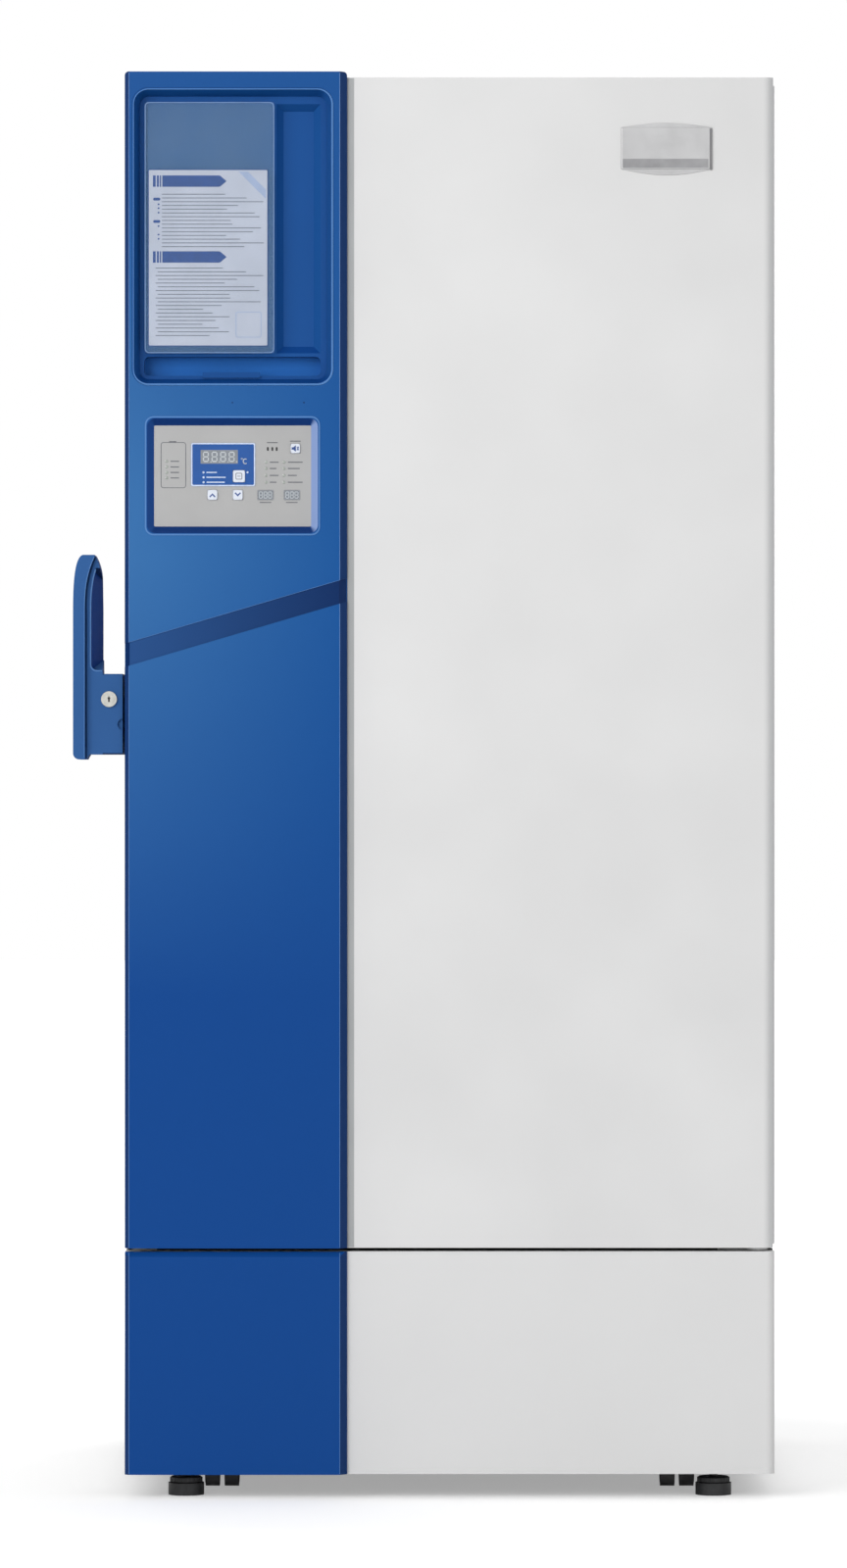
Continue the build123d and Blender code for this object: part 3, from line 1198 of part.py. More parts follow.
def inner_door_span(upper):
    """Low and high z of one inner door."""
    low, high = CHAMBER_BOTTOM - RECESS_MARGIN, CHAMBER_TOP + RECESS_MARGIN
    half_gap = INNER_JAMB + 0.5
    if upper:
        return CHAMBER_MID + half_gap, high - INNER_JAMB
    return low + INNER_JAMB, CHAMBER_MID - half_gap


def inner_door(upper):
    """Ribbed panel with a stiff rim, pivot bores and a grip on its free edge."""
    z0, z1 = inner_door_span(upper)
    w = INNER_HALF
    rim = INNER_RIM
    door = slab(rect(-w, w, z0, z1), INNER_FRONT, INNER_BACK)
    door -= block(-w + rim + 16, w - rim - 16, INNER_FRONT - 1, INNER_FRONT + 3.0,
                  z0 + rim + 16, z1 - rim - 16)
    mid = (z0 + z1) / 2
    for low, high in ((z0 + rim, mid - 8), (mid + 8, z1 - rim)):
        for x0, x1 in ((-w + rim, -8), (8, w - rim)):
            door -= block(x0, x1, INNER_FRONT + 3.0 + INNER_SKIN, INNER_BACK + 1, low, high)
    grip = block(-w + 8, -w + 32, INNER_FRONT - 5.0, INNER_FRONT, mid - 45, mid + 45)
    grip -= block(-w + 14, -w + 26, INNER_FRONT - 6.0, INNER_FRONT - 1.5, mid - 38, mid + 38)
    door += grip
    for z in (z0, z1 - INNER_PIN_L - 2):
        door -= rod_z(INNER_AXIS_X, INNER_AXIS_Y, z - 1, z + INNER_PIN_L + 3, INNER_PIN_R + RUN)
    return door


def inner_gasket(upper):
    z0, z1 = inner_door_span(upper)
    inset = INNER_AXIS_IN + 3.0
    return ring((-INNER_HALF + inset, INNER_HALF - inset, z0 + 5, z1 - 5), INNER_GASKET_W, 0,
                INNER_BACK, RECESS_BACK - GASKET_CLEAR)


def inner_door_hinges():
    """Plates on the recess wall, with the pins that both inner doors turn on."""
    low, high = CHAMBER_BOTTOM - RECESS_MARGIN, CHAMBER_TOP + RECESS_MARGIN
    x, y = INNER_AXIS_X, INNER_AXIS_Y
    t = 3.0
    gap = INNER_JAMB
    parts = []
    for z0, z1, up, down in ((low, low + t, 1, 0), (CHAMBER_MID - t, CHAMBER_MID + t, 1, 1),
                             (high - t, high, 0, 1)):
        plate = block(x - 9, RECESS_HALF, y - 8, y + 24, z0, z1)
        reach = gap - t + INNER_PIN_L - 2
        if up:
            plate += rod_z(x, y, z1, z1 + reach, INNER_PIN_R)
        if down:
            plate += rod_z(x, y, z0 - reach, z0, INNER_PIN_R)
        parts.append(plate)
    return Compound(children=parts)


# Lower panel

def lower_panel():
    """White pan across the machine compartment, hung on two pins at its right."""
    t = SHELL_T
    pan = column(front_plan(0, LOWER_DEPTH), LOWER_BOTTOM, LOWER_TOP)
    pan -= column(front_plan(t, LOWER_DEPTH + 1), LOWER_BOTTOM + t, LOWER_TOP - t)
    return pan - rod_z(HINGE_X, HINGE_Y, LOWER_BOTTOM - 1, LOWER_TOP + 1, INNER_PIN_R + RUN)


def lower_fascia():
    """Blue moulding on the lower panel, with a sloping top edge."""
    t = FASCIA_T
    z0, z1 = LOWER_BOTTOM, LOWER_TOP
    fascia = column(fascia_plan(0), z0, z1) - column(fascia_plan(t), z0 + t, z1 - t - 4)
    slope = face([(FASCIA_FRONT - 1, z1 - 8), (FASCIA_FRONT - 1, z1 + 1), (FASCIA_FRONT + 8, z1 + 1)])
    return fascia - side(slope, -HALF - 1, FASCIA_RIGHT + 1)


def nodes():
    """Every piece by name, in the modelling frame."""
    parts = {
        "outer_shell": outer_shell(),
        "rear_panel": rear_panel(),
        "foam_insulation": foam_insulation(),
        "inner_liner": inner_liner(),
        "front_collar": front_collar(),
        "evaporator_coil": evaporator_coil(),
        "power_inlet": power_inlet(),
        "rear_fittings": rear_fittings(),
        "shelves": shelves(),
        "shelf_supports": shelf_supports(),
        "base_frame": base_frame(),
        "rear_caster_forks": rear_caster_forks(),
        "condenser": condenser(),
        "condenser_filter": condenser_filter(),
        "fan_shroud": fan_shroud(),
        "fan_rotor": fan_rotor(),
        "fan_motor": fan_motor(),
        "compressors": compressors(),
        "pipework": pipework(),
        "control_box": control_box(),
        "power_rocker": power_rocker(),
        "hinge_bracket_upper": hinge_bracket_upper(),
        "hinge_bracket_lower": hinge_bracket_lower(),
        "latch_strike": latch_strike(),
        "door_skin": door_skin(),
        "door_foam": door_foam(),
        "door_liner": door_liner(),
        "door_gasket": door_gasket(),
        "door_fascia": door_fascia(),
        "fascia_stripe": fascia_stripe(),
        "document_tray": document_tray(),
        "clear_pocket": clear_pocket(),
        "control_bezel": control_bezel(),
        "control_faceplate": control_faceplate(),
        "display_lens": display_lens(),
        "display_board": display_board(),
        "handle_hub": handle_hub(),
        "handle_lever": handle_lever(),
        "latch_hook": latch_hook(),
        "lock_barrel": lock_barrel(),
        "lock_plug": lock_plug(),
        "inner_door_upper": inner_door(True),
        "inner_door_lower": inner_door(False),
        "inner_gasket_upper": inner_gasket(True),
        "inner_gasket_lower": inner_gasket(False),
        "inner_door_hinges": inner_door_hinges(),
        "lower_panel": lower_panel(),
        "lower_fascia": lower_fascia(),
    }
    for name in BUTTONS:
        parts[name] = push_button(name)
    for label, sign in (("left", -1), ("right", 1)):
        parts["levelling_foot_" + label] = levelling_foot(sign)
        parts["caster_fork_" + label] = caster_fork(sign)
        parts["front_wheel_" + label] = front_wheel(sign)
        parts["rear_wheel_" + label] = rear_wheel(sign)
    return parts


def main():
    os.makedirs("parts", exist_ok=True)
    for name, shape in nodes().items():
        export_step(placed(shape), "parts/" + name + ".step")


if __name__ == "__main__":
    main()
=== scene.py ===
import json
from math import cos, pi, radians, sin

import bmesh
import bpy
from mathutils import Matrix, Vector


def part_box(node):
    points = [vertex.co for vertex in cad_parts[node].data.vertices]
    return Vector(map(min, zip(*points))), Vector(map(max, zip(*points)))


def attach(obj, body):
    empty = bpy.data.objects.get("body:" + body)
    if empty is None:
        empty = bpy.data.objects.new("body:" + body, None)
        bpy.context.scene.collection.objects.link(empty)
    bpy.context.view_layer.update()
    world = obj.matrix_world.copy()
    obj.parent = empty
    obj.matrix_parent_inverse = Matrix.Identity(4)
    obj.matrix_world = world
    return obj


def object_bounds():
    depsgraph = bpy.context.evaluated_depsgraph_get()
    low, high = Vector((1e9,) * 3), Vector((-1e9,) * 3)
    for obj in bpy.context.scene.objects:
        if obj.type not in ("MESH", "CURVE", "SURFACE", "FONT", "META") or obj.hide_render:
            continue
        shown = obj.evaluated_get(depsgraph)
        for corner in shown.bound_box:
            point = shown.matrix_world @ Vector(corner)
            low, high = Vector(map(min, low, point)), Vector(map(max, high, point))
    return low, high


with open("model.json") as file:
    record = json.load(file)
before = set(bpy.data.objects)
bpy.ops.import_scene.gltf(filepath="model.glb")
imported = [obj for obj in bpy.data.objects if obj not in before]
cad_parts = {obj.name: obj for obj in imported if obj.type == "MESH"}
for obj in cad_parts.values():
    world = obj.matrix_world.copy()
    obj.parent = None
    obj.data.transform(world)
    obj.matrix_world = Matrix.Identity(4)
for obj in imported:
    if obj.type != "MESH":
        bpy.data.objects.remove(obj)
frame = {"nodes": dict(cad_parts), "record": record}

CAD_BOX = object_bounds()
MM = 0.001
NODES = frame["nodes"]

# Camera, light and floor, in metres
CAMERA_AWAY = 10.0  # from the front of the door
CAMERA_HEIGHT = 0.992
CAMERA_X = -0.0007
FRAME_HEIGHT = 2.1738  # what the whole picture's height covers at the door
SENSOR = 24.0
WHITE = (1.0, 1.0, 1.0, 1.0)
WORLD_LIGHT = 0.49
LAMPS = (  # name, size, power, place and target
    ("key", (3.0, 2.5), 112.0, (-2.6, -4.2, 2.4), (0.0, -0.4, 1.0)),
    ("fill", (3.0, 3.0), 34.0, (2.6, -5.0, 1.6), (0.1, -0.4, 1.0)),
    ("top", (2.5, 2.5), 18.0, (0.0, 0.5, 4.2), (0.0, 0.2, 1.9)),
    ("back", (3.0, 2.5), 45.0, (1.5, 4.5, 2.6), (0.0, 0.4, 1.1)),
)
FLOOR_SIZE = 30.0
FLOOR_TONES = ((236, 236, 236), (240, 240, 240))
FLOOR_GLOW = (0.35, 1.0)  # its glow as the camera sees it, near the part and away from it
FLOOR_FADE = (0.9, 2.6)  # from where to where the one becomes the other

# Print: its thickness, that of print below other print, and of print over it
INK_T = 0.15
UNDER_T = INK_T / 2
OVER_T = INK_T * 1.2

# Card and sleeve, in millimetres from the sleeve's left and top
POCKET_T = 2.0
SLEEVE_RIM = (0.2, 1.6)  # outer and inner edge, in from the sleeve's side
SLEEVE_RIM_T = 0.5
SLEEVE_R = (6.0, 5.0)
SLEEVE_BACK = (0.4, 1.0)  # the milky sheet's faces, behind the card
SLEEVE_BACK_IN = 1.0
CARD_GAP = 0.6
CARD_T = 0.5
CARD = (4.8, 171.2, 93.4, 339.0)
CARD_R = (2.0, 1.4)
CARD_BORDER = (0.0, 1.0)
CARD_HEADS = (101.9, 207.2)
CARD_HEAD_H = 15.8
CARD_STRIPS = ((11.5, 15.3), (17.0, 19.7), (21.0, 22.8))
CARD_ARROW = (24.5, 104.3, 113.8)
CARD_PILLS = (134.8, 165.8)
CARD_PILL = (11.9, 21.7)
CARD_PILL_H = 4.0
CARD_PILL_R = 1.9
CARD_DOTS = (142.0, 147.4, 153.5, 172.2, 184.1, 189.9)
CARD_DOT = 19.4
CARD_DOT_R = 1.3
CARD_TEXT = ((128.0, 201.0, 24.0, 0.0),  # top, bottom, left, and every other line's indent
             (230.5, 329.0, 15.3, 3.0))
CARD_PITCH = 5.2
CARD_LINE_H = 1.1
CARD_LINE_END = 165.4
CARD_SHORT = (280.0, 118.0)  # the lines below this one end here, beside the square
CARD_RAGGED = (0.62, 0.38, 2.3)  # a line's least share, what varies, and how fast
CARD_CORNER_IN = 3.0
CARD_CORNER = (38.0, 25.0)  # the pale band across the upper right corner, its far and near edge
CARD_SQUARE = (45.0, 9.0, 12.0, 48.0)  # from the card's right and bottom
CARD_SQUARE_LINE = (0.0, 1.2)
CARD_SQUARE_R = (3.0, 2.4)

# Control panel, in millimetres from the left and top of what is seen of the faceplate
FACE_LEDGE = 3.0
LABEL_H = 1.6
STATUS_BOX = (9.1, 44.4, 23.0, 86.8)
STATUS_BOX_LINE = (0.0, 1.0)
STATUS_BOX_R = (4.0, 3.0)
STATUS_TITLE = (20.8, 30.8)
STATUS_TITLE_UP = 0.6
STATUS_ROWS = (49.6, 57.5, 65.1, 72.7)
STATUS_LAMP = 17.5
STATUS_LABEL = (22.7, 34.6)
LAMP_ROWS = (50.9, 59.6, 69.2, 78.7)
LAMP_COLUMNS = ((155.4, 160.5, 172.7, 2, 3.0),  # lamp, label's start and end, then the count of
                (180.2, 185.6, 206.0, 3, 4.0))  # lengths that take turns and the step between them
LAMP_DOME = ((2.3, 0.0), (2.3, -0.25), (1.6, -0.55), (0.0, -0.7))
SMALL_LABELS = ((146.5, 162.5, 106.7), (183.0, 199.0, 106.7), (188.5, 203.3, 21.7), (156.5, 171.5, 23.7))
SMALL_LABEL_H = 1.4
BUZZER_SLOTS = (157.7, 164.0, 170.0)
BUZZER_SLOT = (1.3, 32.5, 5.4, 1.2)  # half its width, its middle, height and corner
WINDOW_BORDER = (0.1, 1.9)
WINDOW_R = (2.9, 1.8)
WINDOW_ROWS = ((65.1, 87.1), (71.9, 99.3), (78.7, 98.0))  # height, and the label's end
WINDOW_LABEL = 72.7
WINDOW_DOT = (68.6, 1.5)
SET_DOT = (129.6, 65.0, 1.4)
DIGITS = (64.5, 116.2, 33.8, 53.0)
DIGIT_COUNT = 4
DIGIT = (3.2, 2.4, 4.0, 3.6, 1.7)  # margin left and below, width that isn't shared, gap and thickness
POINT = (2.4, 2.6, 0.9)
DEGREE = (121.8, 46.2, 1.3, 0.7)
CELSIUS = (126.4, 49.6)
CELSIUS_CURVES = ((3.3, 3.9), (2.2, 2.8))
SMALL_DISPLAYS = (142.8, 179.5)
SMALL_DISPLAY = (23.4, 89.0, 103.7)  # width, top and bottom
SMALL_FRAME = (0.0, 1.2)
SMALL_FRAME_T = 0.5
SMALL_FRAME_R = (2.0, 1.2)
SMALL_WINDOW_IN = 1.0
SMALL_DIGIT = (2.6, 6.4, 5.2, 0.9)  # margin, pitch, width and thickness
BEZEL_R = 10.0
BEZEL_LIP = (2.0, 1.0)  # how far its lip reaches outwards and inwards
BEZEL_LIP_Y = (0.02, 0.9)  # the lip's faces, behind the bezel's front

# Marks, as points from their middle
ARROW = ((-4.4, -2.4), (0.0, 2.2), (4.4, -2.4), (3.1, -3.6), (0.0, -0.4), (-3.1, -3.6))
HORN = ((-5.0, -1.6), (-2.8, -1.6), (0.8, -4.4), (0.8, 4.4), (-2.8, 1.6), (-5.0, 1.6))
STROKE = ((1.9, -2.2), (2.7, -2.9), (5.2, 2.2), (4.4, 2.9))
SET_SQUARE = (4.6, 1.6)  # half its width, and its corner
SET_HOLE = (3.6, 1.0)
SET_DASH = (2.2, 0.5)
KEY_SLOT = ((-1.1, -3.8), (1.1, -3.8), (0.8, 0.6), (-0.8, 0.6))
KEY_EYE = (1.2, 1.9)  # above the middle, and its radius

# Door and lever, in millimetres
BADGE_PANEL = (273.3, 400.1, 1845.5, 1903.5)
BADGE_BOWS = (8.5, 6.0)
BADGE_STEPS = 16
BADGE_BACK_T = 1.4
BADGE_T = 1.8
BADGE_R = 1.6
BADGE_LEFT = 0.8
BADGE_BAND_TOP = 1859.8
BADGE_BAND_IN = (2.4, 1.6)
BADGE_BAND_R = 0.8
BADGE_EDGE = (3.2, 0.3)  # the shaded right edge's two sides, in from the panel's right
BADGE_EDGE_ENDS = (1.4, 1.2)  # past the panel's bottom, and short of its top
BADGE_EDGE_T = 1.0
BADGE_EDGE_R = 1.4
DOOR_EDGE_W = 16.0  # the band of painted shade along the door's right side
DOOR_EDGE_FULL = 4.0  # the part of it that the painted shade covers in full
GREY_BAND = (0.2, 9.6)
GREY_BAND_T = 0.4
TRAY_RIM = 2.5  # the tray's wall, seen from the front
TRAY_R = 20.0
TRAY_LIP = (1.1, 2.3, 2.3, 1.3)  # at the left, right, bottom and top
TRAY_LIP_R = 1.6
TRAY_LIP_T = 0.35
TROUGH_LIGHT_SPAN = (10.0, 1.0)  # where its painted light sets in and is full, above the trough's floor
STRIPE_H = 32.6
LEFT_CHAMFER = 6.0
RIGHT_CHAMFER = 10.0
LINE_R = 0.45
STRIPE_LINE_R = 0.35
LINE_END = 1.0
LINE_TOP = 2.0
FASCIA_DOTS = (149.4, 248.6)
FASCIA_DOT_DROP = 459.2
FASCIA_DOT = ((1.3, 0.0), (1.3, -0.15), (0.7, -0.3), (0.0, -0.35))
LEVER_STEP = 10.0  # the lever's middle, behind its front strip
LEVER_LEAN = (80.0, 15.0, 2.68)  # its crown's height, reach and power
STRIP_EDGE = 15.9  # the front strip's inner edge, from the lever's left side
STRIP_LINE = (0.45, 0.6)  # its painted highlight line, behind the front, and the line's radius
STRIP_LINE_END = 3.0
RIM_X = 24.0  # bead of painted highlight around the hollow, from the lever's left side
RIM_DROP = 161.0  # its lower end, below the lever's top
RIM_R = 9.0
RIM_END = 40.2
RIM_BEAD = 1.1
CORNER_Y = (0.05, 16.0)  # faces of the hollow's lower corner, behind the lever's middle

# Cabinet, feet and wheels, in millimetres
SHELL_T = 1.5
LOUVRE_ROWS = 6
LOUVRE_PITCH = 28.0
LOUVRE_H = 9.0
LOUVRE_L = 220.0
LOUVRE_IN = 110.0  # their back ends, from the rear panel
LOUVRE_Z = 150.0  # the lowest one, above the floor
REAR_VENT_ROWS = 5
REAR_VENT_COLUMNS = 2
REAR_VENT_PITCH = 24.0
REAR_VENT_W = 240.0
REAR_VENT_GAP = 30.0
REAR_VENT_LEFT = 71.0
REAR_VENT_Z = 145.0
BLADE_END = 3.0  # a blade's ends, past its slot
SIDE_BLADE = 9.0  # how deep a blade reaches
REAR_BLADE = 8.0
AXLE_OVER = 6.0  # the rear axles' ends, past the treads
FOOT_WHEEL = ((11.5, 17.1), (20.5, 17.1), (22.0, 18.4), (22.0, 24.0), (20.5, 25.6), (11.5, 26.4))
FOOT_RIBS = 24
FOOT_RIB = (22.0, 0.8)
FOOT_RIB_Z = (18.2, 24.2)
HUB_REACH = 0.9
HUB_RING = ((24.0, 0.0), (23.6, 0.6), (19.4, 0.6), (19.0, 0.0))
HUB_CAP = ((9.0, 0.0), (8.6, 1.0), (3.0, 1.2), (0.0, 1.2))
SCREW_DOME = ((1.0, 0.0), (0.96, 0.5), (0.7, 1.3), (0.42, 1.6), (0.40, 0.9), (0.0, 0.9))
SCREW_R = 4.0
REAR_SCREWS = (12.0, 7, 4)  # in from the panel's edges, rows and columns
HINGE_SCREWS = ((14.0, 34.0), (0.66, 0.88), 5.0)  # places along X, shares of Y, radius
STRIKE_SCREWS = ((-16.0, 16.0), (-20.0, 20.0), 2.6)  # places along Y and Z, radius
GASKETS = (("door_gasket", "outer_door", 24.0), ("inner_gasket_upper", "inner_door_upper", 12.0),
           ("inner_gasket_lower", "inner_door_lower", 12.0))
FOLD_SHARES = (0.25, 0.7)
FOLD_W = 1.4
FOLD_R = (4.0, 3.0)
FOLD_T = 0.12
SEAM_SHARE = 0.48  # the weld's height on the compressor
SEAM_OUT = 0.3
SEAM_R = 1.6

# Softened edges of the visible mouldings and sheets
EDGE_WIDTHS = {"door_fascia": 0.9, "lower_fascia": 0.9, "door_skin": 0.5, "lower_panel": 0.5,
               "document_tray": 0.7, "control_bezel": 0.5, "handle_lever": 1.2, "outer_shell": 0.4}
BEVEL_ANGLE = 40
SMOOTH_ANGLE = 35

# Colours, as they are written in sRGB
WHITE_PAINT = (219, 219, 219)
# Painted shade on the door's white: on faces turned right, and in a band along its right edge
WHITE_EDGE_SHADE = (204, 205, 206)
WHITE_RIM_SHADE = (186, 187, 188)
BLUE = (53, 107, 165)  # at the left and half way up, where no painted shade darkens the blue
# Painted shade on the blue towards the right, the bottom and the top; the top's tone is also the bezel's own
# blue
RIGHT_BLUE_SHADE = (24, 83, 150)
LOW_BLUE_SHADE = (14, 69, 140)
HIGH_BLUE = (28, 81, 146)
TRAY_BLUE = (26, 80, 147)
# Painted shade on the tray's faces turned down, and painted light on the floor of its trough
TRAY_DOWN_SHADE = (17, 70, 131)
TROUGH_PAINTED_LIGHT = (38, 108, 190)
# Painted shade on faces turned sideways and down
SIDE_BLUE_SHADE = (18, 52, 104)
DEEP_BLUE_SHADE = (12, 42, 88)
# The stripe's dark blue is lightest at the left; painted shade darkens it towards the right and on faces
# turned sideways
STRIPE_LEFT = (36, 76, 132)
# Painted light on the bezel's walls turned left, painted shade on those turned right, up and down
BEZEL_LIGHT = (135, 157, 203)
BEZEL_NEAR_SHADE = (27, 71, 140)
BEZEL_SHADE = (7, 47, 108)
# Painted shade on the stripe, towards its right and on its faces turned sideways
DARK_BLUE_SHADE = (8, 42, 92)
LEVER_BLUE = (50, 92, 148)
# Painted shade in the lever's hollow, on faces turned right
LEVER_SHADE = (8, 57, 130)
CLEAR_TONES = ((114, 150, 190), (120, 154, 192))

# Even materials: name, colour, roughness, metallic, size of the colour patches, how much they vary, and
# size and depth of the grain, in millimetres
SURFACES = {
    "white_paint": ("powder_coat_white", WHITE_PAINT, 0.38, 0, 300, 0.008, 1.6, 0.012),
    "sheet_steel": ("zinc_sheet", (178, 181, 184), 0.36, 0.85, 45, 0.03, 0.8, 0.01),
    "foam": ("rigid_foam", (226, 212, 160), 0.9, 0, 40, 0.06, 2.2, 0.3),
    "pale_plastic": ("pale_moulding", (216, 219, 222), 0.45, 0, 160, 0.012, 1.0, 0.02),
    "grey_rubber": ("soft_gasket", (112, 115, 119), 0.72, 0, 60, 0.04, 0.7, 0.03),
    "copper": ("copper_tube", (186, 116, 84), 0.32, 1.0, 30, 0.12, 0.8, 0.01),
    "tube_insulation": ("foam_sleeve", (28, 28, 29), 0.88, 0, 20, 0.15, 1.1, 0.12),
    "black_steel": ("black_enamel", (34, 35, 37), 0.42, 0, 50, 0.08, 1.2, 0.02),
    "fins": ("fin_aluminium", (170, 172, 174), 0.34, 0.95, 15, 0.05, 0.6, 0.01),
    "display_window": ("printed_blue_window", (34, 84, 156), 0.16, 0, 30, 0.02, 0.5, 0.003),
    "silver": ("silver_film", (165, 165, 165), 0.4, 0.35, 60, 0.012, 0.5, 0.006),
    "white_plastic": ("white_key", (216, 222, 233), 0.35, 0, 20, 0.01, 0.4, 0.006),
    "board": ("board_green", (24, 84, 48), 0.45, 0, 12, 0.12, 0.8, 0.02),
    "lock_metal": ("nickel", (206, 206, 200), 0.2, 0.9, 8, 0.04, 0.3, 0.004),
    "wheel_tread": ("grey_tread", (104, 103, 105), 0.62, 0, 20, 0.07, 0.7, 0.03),
    "foot_black": ("foot_black", (33, 34, 36), 0.4, 0, 15, 0.1, 0.8, 0.02),
    "black_plastic": ("black_moulding", (24, 24, 26), 0.46, 0, 40, 0.08, 0.9, 0.03),
    "screw_steel": ("screw_steel", (164, 166, 168), 0.28, 0.85, 6, 0.06, 0.4, 0.004),
    # Painted shade in the gaskets' folds
    "gasket_fold_shade": ("gasket_fold_shade", (78, 80, 84), 0.75, 0, 40, 0.05, 0.7, 0.02),
    # Painted highlights: lines along edges, and the lips and beads around tray, bezel and lever
    "edge_highlight": ("edge_highlight", (70, 118, 180), 0.3, 0, 40, 0.03, 0.6, 0.004),
    "highlight_blue": ("highlight_blue", (82, 128, 186), 0.34, 0, 60, 0.02, 0.7, 0.004),
    "card_paper": ("card_paper", (192, 197, 209), 0.6, 0, 45, 0.02, 0.5, 0.006),
    "card_pale": ("pale_blue_ink", (166, 180, 208), 0.6, 0, 20, 0.03, 0.3, 0.002),
    "card_blue": ("blue_ink", (30, 66, 132), 0.5, 0, 10, 0.06, 0.3, 0.002),
    "card_grey": ("grey_ink", (110, 114, 122), 0.55, 0, 8, 0.08, 0.3, 0.002),
    "panel_ink": ("panel_ink", (98, 101, 106), 0.5, 0, 8, 0.06, 0.3, 0.002),
    "pale_ink": ("pale_ink", (196, 210, 234), 0.45, 0, 8, 0.05, 0.3, 0.002),
    "led_grey": ("unlit_display", (128, 134, 142), 0.2, 0, 10, 0.03, 0.3, 0.002),
    "led_pale": ("pale_segment", (186, 192, 196), 0.3, 0, 6, 0.03, 0.3, 0.002),
    "lamp_lens": ("lamp_lens", (150, 156, 150), 0.18, 0, 3, 0.06, 0.3, 0.002),
    "clear_rim": ("sleeve_edge", (104, 134, 178), 0.2, 0, 30, 0.05, 0.6, 0.004),
    "silver_rim": ("silver_rim", (150, 152, 155), 0.3, 0.7, 12, 0.04, 0.4, 0.004),
    "badge_silver": ("badge_silver", (190, 190, 191), 0.3, 0.5, 30, 0.03, 0.5, 0.006),
    "badge_shade": ("badge_shade", (122, 122, 124), 0.4, 0.4, 20, 0.05, 0.5, 0.004),
    "badge_dark": ("badge_dark", (148, 148, 150), 0.4, 0.4, 20, 0.05, 0.5, 0.004),
    "band_grey": ("band_grey", (164, 166, 167), 0.5, 0, 120, 0.02, 0.9, 0.01),
}
EXTRAS = {
    "sheet_steel": {"stretch": (1.0, 40.0, 40.0)},
    "badge_silver": {"stretch": (1.0, 30.0, 30.0)},
    "fins": {"stretch": (40.0, 40.0, 1.0)},
    "foam": {"cellular": True},
    "tube_insulation": {"cellular": True},
    "display_window": {"coat": 0.3, "sheen": 0.2},
    "highlight_blue": {"sheen": 0.2},
    "led_grey": {"coat": 0.4},
    "lamp_lens": {"coat": 0.5},
}

# Where painted shade darkens the door's blue towards the right, the bottom and the top, in metres
TONE_ACROSS = (-0.41, -0.11)
TONE_LOW = (1.30, 0.70)
TONE_HIGH = (1.40, 1.90)

# The axis along which a turned face looks, and where the painted light and shade of faces turned that way set
# in and are full
WAYS = {"left": ("X", -0.25, -0.65), "right": ("X", 0.25, 0.65), "down": ("Z", -0.3, -0.75),
        "up": ("Z", 0.3, 0.75), "flank": ("X", 0.95, 0.995)}

NOISE_DETAIL = 2.0
GLOSS_VARY = 0.15
MOULD_PATCH = 250.0
MOULD_VARY = 0.015
MOULD_DEPTH = 0.012


def edges(node):
    """Low and high corner of a node, in millimetres."""
    low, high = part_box(node)
    return [v / MM for v in low], [v / MM for v in high]


def front_of(node):
    """Left, right, bottom and top of a node seen from the front, and how far forward it comes."""
    low, high = edges(node)
    return (low[0], high[0], low[2], high[2]), low[1]


def centre(node):
    """Centre of a node, in millimetres."""
    low, high = edges(node)
    return [(a + b) / 2 for a, b in zip(low, high)]


def middle_of(node):
    """Middle of a node seen from the front, and how far forward it comes."""
    x, _, z = centre(node)
    return x, z, edges(node)[0][1]


# Materials

def linear(rgb):
    """Blender's linear colour for an sRGB one from 0 to 255."""
    out = []
    for value in rgb:
        c = value / 255.0
        out.append(c / 12.92 if c <= 0.04045 else ((c + 0.055) / 1.055) ** 2.4)
    return (*out, 1.0)


def shade(rgb, factor):
    return tuple(min(255.0, c * factor) for c in rgb)


def put(node, values):
    """Set a node's inputs by their names."""
    for name, value in values.items():
        node.inputs[name].default_value = value


